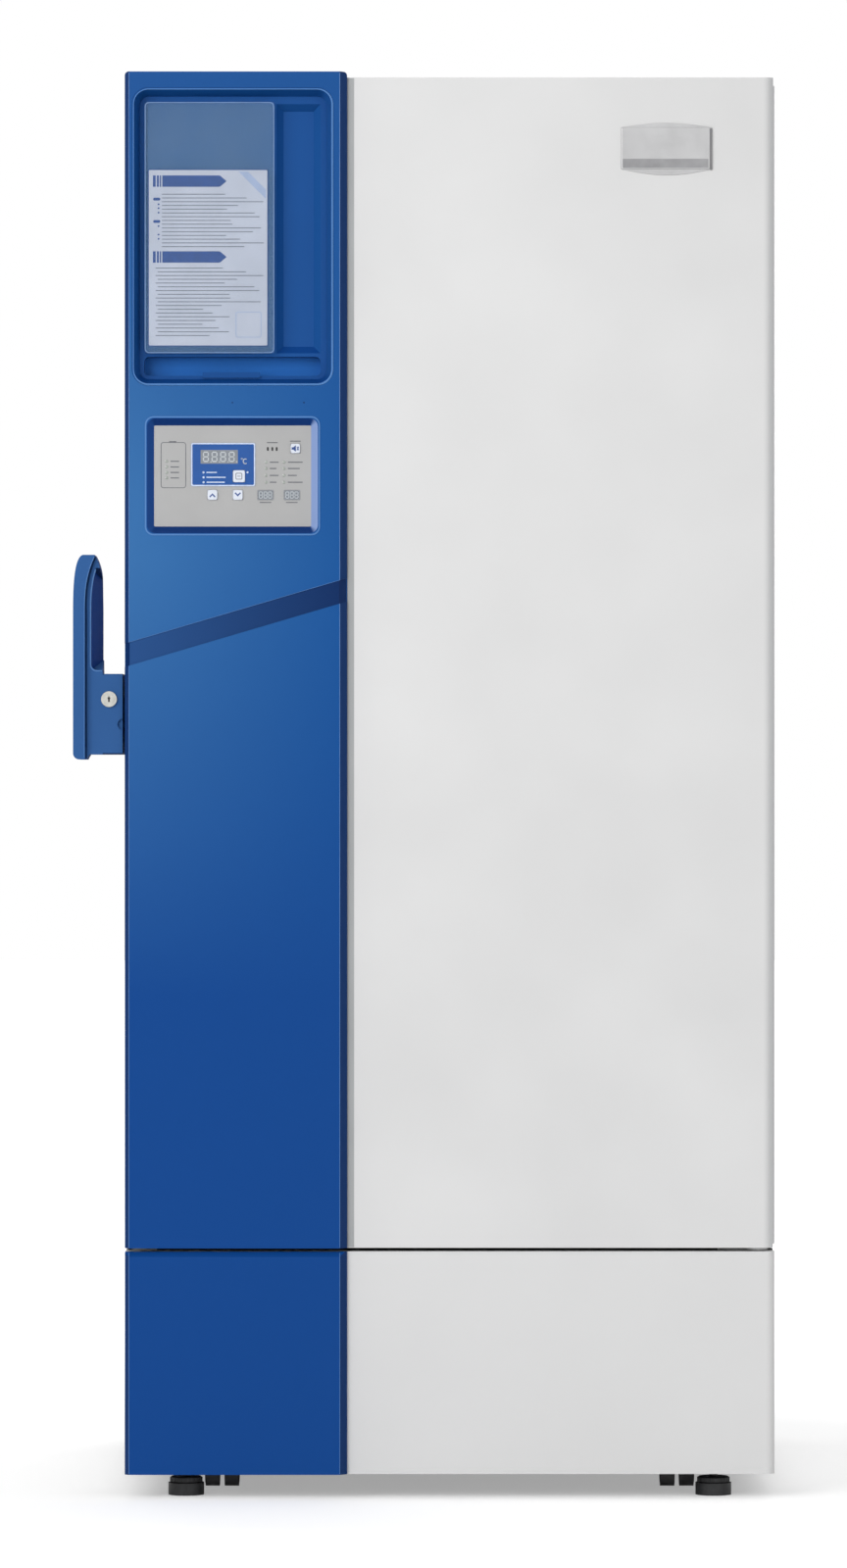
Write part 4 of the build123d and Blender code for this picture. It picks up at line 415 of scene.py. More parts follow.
class Graph:
    """A material's node tree with a few short ways to build it."""

    def __init__(self, name):
        self.material = bpy.data.materials.new(name)
        self.material.use_nodes = True
        self.tree = self.material.node_tree
        self.shader = self.tree.nodes["Principled BSDF"]
        self.place = self.add("ShaderNodeTexCoord").outputs["Object"]

    def add(self, kind, **settings):
        node = self.tree.nodes.new(kind)
        for key, value in settings.items():
            setattr(node, key, value)
        return node

    def link(self, source, target):
        self.tree.links.new(source, target)

    def feed(self, source, name):
        """Link an output to the shader's input of that name."""
        self.link(source, self.shader.inputs[name])

    def stretched(self, scale):
        mapping = self.add("ShaderNodeMapping")
        put(mapping, {"Scale": scale})
        self.link(self.place, mapping.inputs["Vector"])
        return mapping.outputs["Vector"]

    def noise(self, size_mm, stretch=None):
        """Noise whose patches are about size_mm across."""
        noise = self.add("ShaderNodeTexNoise")
        put(noise, {"Scale": 1.0 / (size_mm * MM), "Detail": NOISE_DETAIL})
        self.link(self.stretched(stretch) if stretch else self.place, noise.inputs["Vector"])
        return noise.outputs["Fac"]

    def cells(self, size_mm):
        cells = self.add("ShaderNodeTexVoronoi")
        put(cells, {"Scale": 1.0 / (size_mm * MM)})
        self.link(self.place, cells.inputs["Vector"])
        return cells.outputs["Distance"]

    def span(self, value, low, high, start=0.3, end=0.7):
        """Map a texture's middle range to low and high."""
        node = self.add("ShaderNodeMapRange")
        put(node, {"From Min": start, "From Max": end, "To Min": low, "To Max": high})
        self.link(value, node.inputs["Value"])
        return node.outputs["Result"]

    def mix(self, factor, a, b):
        """Blend a colour output or an sRGB colour with another."""
        node = self.add("ShaderNodeMix", data_type="RGBA")
        self.link(factor, node.inputs["Factor"])
        for key, value in (("A", a), ("B", b)):
            if isinstance(value, tuple):
                put(node, {key: linear(value)})
            else:
                self.link(value, node.inputs[key])
        return node.outputs["Result"]

    def tint(self, value, low, high):
        """Blend between two sRGB colours by a texture."""
        return self.mix(self.span(value, 0.0, 1.0), low, high)

    def faces_to(self, axis, start, end):
        """0 to 1 as a face turns to look along an axis of the object, from start to end."""
        normal = self.add("ShaderNodeNewGeometry").outputs["Normal"]
        turn = self.add("ShaderNodeVectorTransform", vector_type="NORMAL", convert_from="WORLD",
                        convert_to="OBJECT")
        self.link(normal, turn.inputs["Vector"])
        part = self.add("ShaderNodeSeparateXYZ")
        self.link(turn.outputs["Vector"], part.inputs["Vector"])
        return self.span(part.outputs[axis], 0.0, 1.0, start, end)

    def along(self, axis, start, end):
        """0 to 1 from one place of the object to another, in metres."""
        part = self.add("ShaderNodeSeparateXYZ")
        self.link(self.place, part.inputs["Vector"])
        return self.span(part.outputs[axis], 0.0, 1.0, start, end)

    def gloss(self, texture, roughness):
        """Let the roughness vary a little with a texture."""
        low, high = roughness * (1 - GLOSS_VARY), min(1.0, roughness * (1 + GLOSS_VARY))
        self.feed(self.span(texture, low, high), "Roughness")

    def bump(self, height, depth_mm):
        node = self.add("ShaderNodeBump")
        put(node, {"Strength": 1.0, "Distance": depth_mm * MM})
        self.link(height, node.inputs["Height"])
        self.feed(node.outputs["Normal"], "Normal")


def surface(name, rgb, roughness, metallic, patch, vary, grain, depth, stretch=None, cellular=False,
            coat=0.0, sheen=0.5):
    """A material with broad colour patches, uneven gloss and a fine relief."""
    graph = Graph(name)
    graph.feed(graph.tint(graph.noise(patch), shade(rgb, 1 - vary), shade(rgb, 1 + vary)), "Base Color")
    fine = graph.cells(grain) if cellular else graph.noise(grain, stretch)
    graph.gloss(fine, roughness)
    put(graph.shader, {"Metallic": metallic, "Specular IOR Level": sheen})
    if coat:
        put(graph.shader, {"Coat Weight": coat, "Coat Roughness": 0.08})
    graph.bump(fine, depth)
    return graph.material


def moulding(name, rgb, tones, sheen=0.1, roughness=0.34, across=None, low=None, high=None, grain=0.9,
             rim=None, deep=None):
    """Moulded front with painted light and shade: its colour runs over it, with a painted tone for each way a
    face turns, for its rim and for its depth.
    """
    graph = Graph(name)
    colour = graph.tint(graph.noise(MOULD_PATCH), shade(rgb, 1 - MOULD_VARY), shade(rgb, 1 + MOULD_VARY))
    for tone, axis, places in ((across, "X", TONE_ACROSS), (low, "Z", TONE_LOW), (high, "Z", TONE_HIGH)):
        if tone:
            colour = graph.mix(graph.along(axis, *places), colour, tone)
    for run, axis in ((rim, "X"), (deep, "Y")):
        if run:
            tone, start, end = run
            colour = graph.mix(graph.along(axis, start * MM, end * MM), colour, tone)
    for way, tone in tones.items():
        colour = graph.mix(graph.faces_to(*WAYS[way]), colour, tone)
    graph.feed(colour, "Base Color")
    fine = graph.noise(grain)
    graph.gloss(fine, roughness)
    put(graph.shader, {"Specular IOR Level": sheen})
    graph.bump(fine, MOULD_DEPTH)
    return graph.material


def clear_sheet(name, opacity):
    """Clear sheet with a faint haze and fine scratches."""
    graph = Graph(name)
    haze = graph.noise(60.0)
    graph.feed(graph.tint(haze, *CLEAR_TONES), "Base Color")
    graph.feed(graph.span(haze, opacity * 0.95, opacity * 1.05), "Alpha")
    put(graph.shader, {"Specular IOR Level": 0.06})
    scratches = graph.noise(0.8, (1.0, 1.0, 18.0))
    graph.feed(graph.span(scratches, 0.22, 0.32), "Roughness")
    graph.bump(scratches, 0.0008)
    return graph.material


def make_materials():
    made = {slot: surface(*row, **EXTRAS.get(slot, {})) for slot, row in SURFACES.items()}
    door_end = edges("door_skin")[1][0]
    door_rim_shade = (WHITE_RIM_SHADE, door_end - DOOR_EDGE_W, door_end - DOOR_EDGE_FULL)
    trough_floor = edges("document_tray")[1][1] - TRAY_RIM
    trough = (TROUGH_PAINTED_LIGHT, *(trough_floor - rise for rise in TROUGH_LIGHT_SPAN))
    made.update({
        # The door's white, with painted shade on faces turned right and in a band along its right edge
        "door_white": moulding("door_paint_and_shade", WHITE_PAINT, {"right": WHITE_EDGE_SHADE, "flank": WHITE_PAINT},
                               sheen=0.4, roughness=0.38, grain=1.6, rim=door_rim_shade),
        # Blue with painted shade towards the right, the bottom and the top, and on faces turned sideways and
        # down
        "blue_plastic": moulding("moulded_blue", BLUE,
                                 {"down": DEEP_BLUE_SHADE, "left": SIDE_BLUE_SHADE, "right": SIDE_BLUE_SHADE},
                                 across=RIGHT_BLUE_SHADE, low=LOW_BLUE_SHADE, high=HIGH_BLUE),
        # The tray's blue, with painted shade on faces turned down and up, a painted tone on faces turned
        # left, and painted light in its trough
        "tray_blue": moulding("tray_blue", TRAY_BLUE,
                              {"down": TRAY_DOWN_SHADE, "left": HIGH_BLUE, "up": LOW_BLUE_SHADE}, deep=trough),
        # The bezel's blue, with painted light on walls turned left and painted shade on those turned right,
        # up and down
        "bezel_blue": moulding("bezel_blue", HIGH_BLUE, {"down": BEZEL_SHADE, "up": BEZEL_SHADE,
                                                         "left": BEZEL_LIGHT, "right": BEZEL_NEAR_SHADE}),
        # The stripe's dark blue, with painted shade towards the right and on faces turned sideways
        "dark_blue_plastic": moulding("moulded_dark_blue", STRIPE_LEFT,
                                      {"left": DARK_BLUE_SHADE, "right": DARK_BLUE_SHADE}, across=DARK_BLUE_SHADE),
        # The lever's blue paint, with painted shade on faces turned right and down
        "lever_paint": moulding("lever_paint_and_shade", LEVER_BLUE, {"right": LEVER_SHADE, "down": DEEP_BLUE_SHADE},
                                sheen=0.06, roughness=0.5),
        "clear_plastic": clear_sheet("clear_sleeve", 0.06),
        "milky_sheet": clear_sheet("milky_sheet", 0.26),
    })
    return made


MATERIALS = make_materials()

# Nodes whose material isn't that of their slot
OWN_MATERIAL = {"control_bezel": "bezel_blue", "document_tray": "tray_blue", "door_skin": "door_white"}


def dress_frame():
    """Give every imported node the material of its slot."""
    slots = {item["node"]: item["material_slot"] for item in frame["record"]["subparts"]}
    for name, node in NODES.items():
        node.data.materials.clear()
        node.data.materials.append(MATERIALS[OWN_MATERIAL.get(name, slots[name])])


def soften(piece, width):
    """Round the sharp edges of a piece off, without changing its mesh."""
    modifier = piece.modifiers.new("edge", "BEVEL")
    modifier.width = width * MM
    modifier.segments = 2
    modifier.limit_method = "ANGLE"
    modifier.angle_limit = radians(BEVEL_ANGLE)


# Ways to build a piece

def add_object(name, data):
    """A new object in the scene."""
    made = bpy.data.objects.new(name, data)
    bpy.context.collection.objects.link(made)
    return made


def round_rect(x0, x1, z0, z1, r=0.0, steps=6):
    """Outline of a rectangle, with corners rounded to r."""
    if not r:
        return [(x0, z0), (x1, z0), (x1, z1), (x0, z1)]
    points = []
    corners = ((x1 - r, z0 + r, -90), (x1 - r, z1 - r, 0), (x0 + r, z1 - r, 90), (x0 + r, z0 + r, 180))
    for cx, cz, start in corners:
        for i in range(steps + 1):
            a = radians(start + 90 * i / steps)
            points.append((cx + r * cos(a), cz + r * sin(a)))
    return points


def inset(box, depth, r=0.0, steps=6):
    """Outline of a box of left, right, bottom and top, moved inwards."""
    x0, x1, z0, z1 = box
    return round_rect(x0 + depth, x1 - depth, z0 + depth, z1 - depth, r, steps)


def circle(x, z, r, steps):
    return [(x + r * cos(2 * pi * i / steps), z + r * sin(2 * pi * i / steps)) for i in range(steps)]


def placed(shape, x, z, flip=1.0):
    """A mark's points around its middle, upside down where flip is -1."""
    return [(x + u, z + v * flip) for u, v in shape]


class Build:
    """One mesh put together from bodies, with every size in millimetres."""

    def __init__(self):
        self.bm = bmesh.new()

    def loop(self, points):
        return [self.bm.verts.new([c * MM for c in p]) for p in points]

    def bridge(self, a, b):
        n = len(a)
        for i in range(n):
            self.bm.faces.new((a[i], a[(i + 1) % n], b[(i + 1) % n], b[i]))

    def between(self, front, back):
        """A closed body between two loops of points."""
        a, b = self.loop(front), self.loop(back)
        self.bm.faces.new(a)
        self.bm.faces.new(b[::-1])
        self.bridge(a, b)

    def prism(self, outline, y0, y1):
        """Extrude an outline of (x, z) points from y0 to y1."""
        self.between([(x, y0, z) for x, z in outline], [(x, y1, z) for x, z in outline])

    def bar(self, x0, x1, z0, z1, y0, y1, r=0.0):
        """A flat bar, with its corners rounded to r."""
        self.prism(round_rect(x0, x1, z0, z1, r), y0, y1)

    def ring(self, outer, inner, y0, y1):
        """A flat frame between two outlines that have equally many points."""
        sides = ((outer, y0), (outer, y1), (inner, y1), (inner, y0))
        loops = [self.loop([(x, y, z) for x, z in outline]) for outline, y in sides]
        for i in range(4):
            self.bridge(loops[i], loops[(i + 1) % 4])

    def border(self, box, insets, radii, y0, y1, steps=6):
        """A flat frame between two outlines of a box, each with its inset and corner radius."""
        self.ring(*(inset(box, depth, r, steps) for depth, r in zip(insets, radii)), y0, y1)

    def turned(self, profile, mid, axis, steps):
        """Turn (radius, along) points about an axis through mid."""
        angles = [2 * pi * i / steps for i in range(steps)]
        loops = []
        for r, h in profile:
            if r:
                loops.append(self.loop([self.spin(r, a, h, mid, axis) for a in angles]))
            else:
                loops.append(self.loop([self.spin(0, 0, h, mid, axis)]) * steps)
        for a, b in zip(loops, loops[1:]):
            for i in range(steps):
                j = (i + 1) % steps
                corners = list(dict.fromkeys((a[i], a[j], b[j], b[i])))
                if len(corners) > 2:
                    self.bm.faces.new(corners)

    @staticmethod
    def spin(r, a, h, mid, axis):
        u, v = r * cos(a), r * sin(a)
        p = {"X": (h, u, v), "Y": (u, h, v), "Z": (u, v, h)}[axis]
        return [c + d for c, d in zip(mid, p)]

    def tube(self, points, r, steps=8, closed=False):
        """A round rod along a chain of points."""
        path = [Vector(p) for p in points]
        n = len(path)
        loops = []
        side = None
        for i, p in enumerate(path):
            before = path[i - 1] if closed or i else p
            after = path[(i + 1) % n] if closed or i < n - 1 else p
            along = (after - before).normalized()
            side = side - along * side.dot(along) if side else along.orthogonal()
            side.normalize()
            up = along.cross(side)
            loops.append(self.loop([p + side * r * cos(2 * pi * k / steps) +
                                    up * r * sin(2 * pi * k / steps) for k in range(steps)]))
        for a, b in zip(loops, loops[1:]):
            self.bridge(a, b)
        if closed:
            self.bridge(loops[-1], loops[0])
        else:
            self.bm.faces.new(loops[0])
            self.bm.faces.new(loops[-1][::-1])

    def finish(self, name, material, body="outer_door", bevel=0.0):
        """Make the object, give it a material and let it ride on a body."""
        bmesh.ops.recalc_face_normals(self.bm, faces=self.bm.faces)
        data = bpy.data.meshes.new(name)
        self.bm.to_mesh(data)
        self.bm.free()
        data.materials.append(MATERIALS[material])
        data.shade_smooth()
        data.set_sharp_from_angle(angle=radians(SMOOTH_ANGLE))
        piece = add_object(name, data)
        if bevel:
            soften(piece, bevel)
        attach(piece, body)


class Print(Build):
    """Marks on a flat front, placed from its left and top."""

    def __init__(self, left, top, y):
        super().__init__()
        self.left, self.top, self.y = left, top, y

    def label(self, u0, u1, v, height=LABEL_H, r=0.0, thick=INK_T):
        """A bar from u0 to u1, whose middle is v down."""
        z = self.top - v
        self.bar(self.left + u0, self.left + u1, z - height / 2, z + height / 2, self.y - thick, self.y, r)

    def dot(self, u, v, r, steps=20):
        self.prism(circle(self.left + u, self.top - v, r, steps), self.y - INK_T, self.y)

    def lamp(self, u, v):
        self.turned(LAMP_DOME, (self.left + u, self.y, self.top - v), "Y", 20)


# Pieces on the front

def card_and_pocket():
    """Printed quick-guide card in the clear sleeve, with plain bars for its lines of text."""
    sleeve, front = front_of("clear_pocket")
    left, top = sleeve[0], sleeve[3]
    y = front + POCKET_T + CARD_GAP
    _, x1, z0, z1 = box = (left + CARD[0], left + CARD[1], top - CARD[3], top - CARD[2])
    card = Build()
    card.bar(*box, y, y + CARD_T, CARD_R[0])
    card.finish("guide_card", "card_paper")
    ink = Print(left, top, y)
    ink.border(box, CARD_BORDER, CARD_R, y - INK_T, y)
    for head in CARD_HEADS:
        a, b = top - head, top - head - CARD_HEAD_H
        for u0, u1 in CARD_STRIPS:
            ink.bar(left + u0, left + u1, b, a, y - INK_T, y)
        u0, u1, tip = (left + u for u in CARD_ARROW)
        ink.prism([(u0, b), (u1, b), (tip, (a + b) / 2), (u1, a), (u0, a)], y - INK_T, y)
    for v in CARD_PILLS:
        ink.label(*CARD_PILL, v, CARD_PILL_H, CARD_PILL_R)
    for v in CARD_DOTS:
        ink.dot(CARD_DOT, v, CARD_DOT_R, 16)
    ink.finish("guide_card_headings", "card_blue")
    soft = Build()
    a, b = x1 - CARD_CORNER_IN, z1 - CARD_CORNER_IN
    far, near = CARD_CORNER
    soft.prism([(a - far, b), (a, b - far), (a, b - near), (a - near, b)], y - UNDER_T, y)
    right, left_in, low, high = CARD_SQUARE
    square = (x1 - right, x1 - left_in, z0 + low, z0 + high)
    soft.border(square, CARD_SQUARE_LINE, CARD_SQUARE_R, y - UNDER_T, y)
    soft.finish("guide_card_corner", "card_pale")
    lines = Print(left, top, y)
    least, varied, pace = CARD_RAGGED
    for start, end, edge, indent in CARD_TEXT:
        v, row = start, 0
        while v < end:
            u0 = edge + (row % 2) * indent
            full = CARD_SHORT[1] if v > CARD_SHORT[0] else CARD_LINE_END
            u1 = u0 + (full - u0) * (least + varied * sin(row * pace) ** 2)
            lines.label(u0, u1, v, CARD_LINE_H)
            v += CARD_PITCH
            row += 1
    lines.finish("guide_card_lines", "card_grey")
    haze = Build()
    back = y + CARD_T
    haze.prism(inset(sleeve, SLEEVE_BACK_IN, SLEEVE_R[1]), back + SLEEVE_BACK[0], back + SLEEVE_BACK[1])
    haze.finish("sleeve_back", "milky_sheet")
    rim = Build()
    rim.border(sleeve, SLEEVE_RIM, SLEEVE_R, front - SLEEVE_RIM_T, front)
    rim.finish("sleeve_rim", "clear_rim")


def segment_digit(build, x, z, w, h, y, t):
    """The seven bars of one digit, whose lower left corner is at x, z."""
    mid = z + h / 2
    for level in (z, mid - t / 2, z + h - t):
        build.prism([(x + t * 0.6, level + t / 2), (x + t, level), (x + w - t, level),
                     (x + w - t * 0.6, level + t / 2), (x + w - t, level + t), (x + t, level + t)],
                    y - INK_T, y)
    for side in (x, x + w - t):
        for a, b in ((z + t * 0.7, mid - t * 0.3), (mid + t * 0.3, z + h - t * 0.7)):
            build.prism([(side + t / 2, a), (side + t, a + t / 2), (side + t, b - t / 2), (side + t / 2, b),
                         (side, b - t / 2), (side, a + t / 2)], y - INK_T, y)


def panel_place():
    """Left, top and front of what is seen of the silver faceplate."""
    box, y = front_of("control_faceplate")
    return box[0] + FACE_LEDGE, box[3] - FACE_LEDGE, y


def display_print():
    """Border, labels, unlit digits and the unit's sign on the blue window."""
    left, top, _ = panel_place()
    window, y = front_of("display_lens")
    ink = Print(left, top, y)
    ink.border(window, WINDOW_BORDER, WINDOW_R, y - INK_T, y)
    for v, _ in WINDOW_ROWS:
        ink.dot(WINDOW_DOT[0], v, WINDOW_DOT[1])
    for v, end in WINDOW_ROWS:
        ink.label(WINDOW_LABEL, end, v)
    ink.dot(*SET_DOT)
    ink.finish("window_border", "pale_ink")
    u0, u1, v0, v1 = DIGITS
    digits = Build()
    digits.bar(left + u0, left + u1, top - v1, top - v0, y - UNDER_T, y)
    digits.finish("digit_window", "led_grey")
    bars = Print(left, top, y)
    margin, below, spare, gap, t = DIGIT
    step = (u1 - u0 - spare) / DIGIT_COUNT
    for i in range(DIGIT_COUNT):
        x, z = left + u0 + margin + i * step, top - v1 + below
        segment_digit(bars, x, z, step - gap, v1 - v0 - 2 * below, y - UNDER_T, t)
        bars.dot(u0 + POINT[0] + (i + 1) * step, v1 - POINT[1], POINT[2], 12)
    u, v, outer, inner = DEGREE
    bars.ring(circle(left + u, top - v, outer, 16), circle(left + u, top - v, inner, 16), y - INK_T, y)
    u, v = CELSIUS
    arc = [radians(a) for a in range(45, 316, 15)]
    outer, inner = [[(left + u + w * cos(a), top - v + h * sin(a)) for a in arc] for w, h in CELSIUS_CURVES]
    bars.prism(outer + inner[::-1], y - INK_T, y)
    bars.finish("unlit_digits", "led_pale")


def faceplate_print():
    """Borders, lamps and plain label bars printed on the silver faceplate."""
    left, top, y = panel_place()
    u0, u1, v0, v1 = STATUS_BOX
    box = (left + u0, left + u1, top - v1, top - v0)
    ink = Print(left, top, y)
    ink.border(box, STATUS_BOX_LINE, STATUS_BOX_R, y - INK_T, y)
    ink.label(*STATUS_TITLE, v0 - STATUS_TITLE_UP, thick=OVER_T)
    for v in STATUS_ROWS:
        ink.label(*STATUS_LABEL, v)
    for i, v in enumerate(LAMP_ROWS):
        for _, start, end, lengths, step in LAMP_COLUMNS:
            ink.label(start, end - (i % lengths) * step, v)
    for u0, u1, v in SMALL_LABELS:
        ink.label(u0, u1, v, SMALL_LABEL_H)
    ink.finish("panel_print", "panel_ink")
    lamps = Print(left, top, y)
    for v in STATUS_ROWS:
        lamps.lamp(STATUS_LAMP, v)
    for v in LAMP_ROWS:
        for column in LAMP_COLUMNS:
            lamps.lamp(column[0], v)
    lamps.finish("status_lamps", "lamp_lens")
    # Painted shade: flat black bars stand for the dark depth of the buzzer's slots
    slots = Print(left, top, y)
    half, v, height, r = BUZZER_SLOT
    for u in BUZZER_SLOTS:
        slots.label(u - half, u + half, v, height, r)
    slots.finish("buzzer_slots", "black_plastic")
    small, frames, digits = Build(), Build(), Build()
    width, v0, v1 = SMALL_DISPLAY
    for u in SMALL_DISPLAYS:
        x, z = left + u, top - v1
        box = (x, x + width, z, top - v0)
        frames.border(box, SMALL_FRAME, SMALL_FRAME_R, y - SMALL_FRAME_T, y)
        small.prism(inset(box, SMALL_WINDOW_IN), y - INK_T, y)
        margin, pitch, w, t = SMALL_DIGIT
        for i in range(3):
            segment_digit(digits, x + margin + i * pitch, z + margin, w, v1 - v0 - 2 * margin, y - INK_T, t)
    small.finish("small_windows", "led_grey")
    digits.finish("small_digits", "led_pale")
    frames.finish("small_window_frames", "silver_rim", bevel=0.15)


def bezel_line():
    """Lip where the bezel meets the fascia, in a painted highlight."""
    box, y = front_of("control_bezel")
    out, into = BEZEL_LIP
    line = Build()
    line.border(box, (-out, into), (BEZEL_R + out, BEZEL_R - into), y + BEZEL_LIP_Y[0], y + BEZEL_LIP_Y[1], 8)
    line.finish("bezel_line", "highlight_blue", bevel=0.15)


def button_marks():
    """Generic symbols on the caps: arrows, a square and a muted loudspeaker."""
    for name, flip in (("button_up", 1.0), ("button_down", -1.0)):
        x, z, y = middle_of(name)
        mark = Build()
        mark.prism(placed(ARROW, x, z, flip), y - INK_T, y)
        mark.finish(name + "_mark", "card_blue", name)
    x, z, y = middle_of("button_set")
    mark = Build()
    mark.ring(*(round_rect(x - half, x + half, z - half, z + half, r) for half, r in (SET_SQUARE, SET_HOLE)),
              y - INK_T, y)
    w, h = SET_DASH
    mark.bar(x - w, x + w, z - h, z + h, y - INK_T, y)
    mark.finish("button_set_mark", "card_grey", "button_set")
    x, z, y = middle_of("button_mute")
    mark = Build()
    mark.prism(placed(HORN, x, z), y - INK_T, y)
    for flip, thick in ((1.0, OVER_T), (-1.0, INK_T)):
        mark.prism(placed(STROKE, x, z, flip), y - thick, y)
    mark.finish("button_mute_mark", "card_blue", "button_mute")


def badge_plate():
    """Bare silver plate on a bowed back plate, with a plain band and a shaded right edge."""
    y = edges("door_skin")[0][1]
    x0, x1, z0, z1 = BADGE_PANEL
    shares = [i / BADGE_STEPS for i in range(BADGE_STEPS + 1)]
    under = [(x0 + (x1 - x0) * s, z0 - BADGE_BOWS[0] * sin(pi * s)) for s in shares]
    over = [(x1 - (x1 - x0) * s, z1 + BADGE_BOWS[1] * sin(pi * s)) for s in shares]
    back_face = y - BADGE_BACK_T
    back = Build()
    back.prism(under + over, back_face, y)
    back.finish("badge_back", "badge_silver", bevel=0.5)
    side, end = BADGE_EDGE
    face = back_face - BADGE_T
    plate = Build()
    plate.bar(x0 + BADGE_LEFT, x1 - side, z0, z1, face, back_face, BADGE_R)
    plate.finish("badge_plate", "badge_silver", bevel=0.9)
    across, up = BADGE_BAND_IN
    band = Build()
    band.bar(x0 + across, x1 - side - across, z0 + up, BADGE_BAND_TOP, face - INK_T, face, BADGE_BAND_R)
    band.finish("badge_band", "badge_dark")
    # Painted shade: a darker strip along the plate's right edge
    edge = Build()
    edge.bar(x1 - side, x1 - end, z0 - BADGE_EDGE_ENDS[0], z1 - BADGE_EDGE_ENDS[1], back_face - BADGE_EDGE_T,
             back_face, BADGE_EDGE_R)
    edge.finish("badge_edge", "badge_shade", bevel=0.4)


def door_grey_band():
    """Thin grey strip on the white door along the blue fascia's right edge."""
    low, high = edges("door_skin")
    x = edges("door_fascia")[1][0]
    strip = Build()
    strip.bar(x + GREY_BAND[0], x + GREY_BAND[1], low[2] + LINE_END, high[2] - LINE_END, low[1] - GREY_BAND_T, low[1])
    strip.finish("fascia_grey_band", "band_grey", bevel=0.15)


def lock_details():
    x, z, y = middle_of("lock_plug")
    # Painted shade: a thin black key shape on the plug's front stands for the deep hole, which the plug
    # doesn't have
    keyhole = Build()
    keyhole.prism(circle(x, z + KEY_EYE[0], KEY_EYE[1], 24), y - INK_T, y)
    keyhole.prism(placed(KEY_SLOT, x, z), y - OVER_T, y)
    keyhole.finish("keyhole", "black_plastic", "lock_plug")


def lean_right(x, top, stop, step):
    """Points up the lever's crown, whose right side leans over towards its top."""
    rise, reach, power = LEVER_LEAN
    return [(x + reach * (s / rise) ** power, top - rise + s) for s in range(0, stop, step)]


def handle_rim():
    """Bead of painted highlight and lower corner of the lever's hollow, and a painted highlight line along
    its front strip.
    """
    low, high = edges("handle_lever")
    top, y, floor = high[2], low[1] + LEVER_STEP, high[2] - RIM_DROP
    x, r = low[0] + RIM_X, RIM_R
    quarter = [radians(i * 15) for i in range(7)]
    bend = [(x + r - r * sin(a), floor + r - r * cos(a)) for a in quarter]
    path = [(low[0] + RIM_END, floor)] + bend + lean_right(x, top, 62, 6)
    bead = Build()
    bead.tube([(px, y, pz) for px, pz in path], RIM_BEAD)
    bead.finish("handle_rim", "highlight_blue", "handle")
    corner = Build()
    corner.prism([(x, floor)] + bend, y + CORNER_Y[0], y + CORNER_Y[1])
    corner.finish("handle_corner", "lever_paint", "handle")
    x = low[0] + STRIP_EDGE
    behind, radius = STRIP_LINE
    edge = [(x, low[2] + STRIP_LINE_END)] + lean_right(x, top, 78, 7)
    line = Build()
    line.tube([(px, low[1] + behind, pz) for px, pz in edge], radius)
    line.finish("lever_edge", "highlight_blue", "handle")


def tray_rim():
    """Lip around the document tray in a painted highlight, widest at its right and its bottom."""
    low, high = edges("document_tray")
    y = edges("door_fascia")[0][1]
    x0, x1, z0, z1 = low[0] + TRAY_RIM, high[0] - TRAY_RIM, low[2] + TRAY_RIM, high[2] - TRAY_RIM
    left, right, under, over = TRAY_LIP
    lip = Build()
    lip.ring(round_rect(x0 - left, x1 + right, z0 - under, z1 + over, TRAY_R + TRAY_LIP_R, 12),
             round_rect(x0, x1, z0, z1, TRAY_R, 12), y - TRAY_LIP_T, y)
    lip.finish("tray_rim", "highlight_blue", bevel=0.15)


def fascia_lines():
    """Painted highlight lines where the fascias' flat fronts meet chamfers and stripe, and two tiny plugs."""
    low, high = edges("door_fascia")
    y = low[1]
    stripe_low, stripe_high = edges("fascia_stripe")
    slope = (stripe_high[2] - stripe_low[2] - STRIPE_H) / (stripe_high[0] - stripe_low[0])
    lines = Build()
    x0, x1 = low[0] + LEFT_CHAMFER, high[0] - RIGHT_CHAMFER
    feet = [stripe_low[2] + slope * (x - stripe_low[0]) for x in (x0, x1)]
    for x, foot in zip((x0, x1), feet):
        lines.tube([(x, y, low[2] + LINE_END), (x, y, foot)], LINE_R)
        lines.tube([(x, y, foot + STRIPE_H), (x, y, high[2] - LINE_TOP)], LINE_R)
    lines.tube([(x0, y, feet[0] + STRIPE_H), (x1, y, feet[1] + STRIPE_H)], STRIPE_LINE_R)
    lines.finish("fascia_lines", "edge_highlight")
    under_low, under_high = edges("lower_fascia")
    under = Build()
    for x in (under_low[0] + LEFT_CHAMFER, under_high[0] - RIGHT_CHAMFER):
        ends = (under_low[2] + LINE_END, under_high[2] - LINE_END)
        under.tube([(x, under_low[1], z) for z in ends], LINE_R)
    under.finish("lower_fascia_lines", "edge_highlight", "lower_panel")
    dots = Build()
    for u in FASCIA_DOTS:
        dots.turned(FASCIA_DOT, (low[0] + u, y, high[2] - FASCIA_DOT_DROP), "Y", 16)
    dots.finish("fascia_plugs", "dark_blue_plastic")


# Pieces below, behind and inside

def foot_collars():
    """Ribbed adjusting wheel on each levelling foot."""
    out, r = FOOT_RIB
    for side in ("left", "right"):
        x, y, _ = centre("levelling_foot_" + side)
        wheel = Build()
        wheel.turned(FOOT_WHEEL, (x, y, 0), "Z", 40)
        for px, py in circle(x, y, out, FOOT_RIBS):
            wheel.tube([(px, py, h) for h in FOOT_RIB_Z], r, 6)
        wheel.finish("foot_collar_" + side, "foot_black", "levelling_foot_" + side)


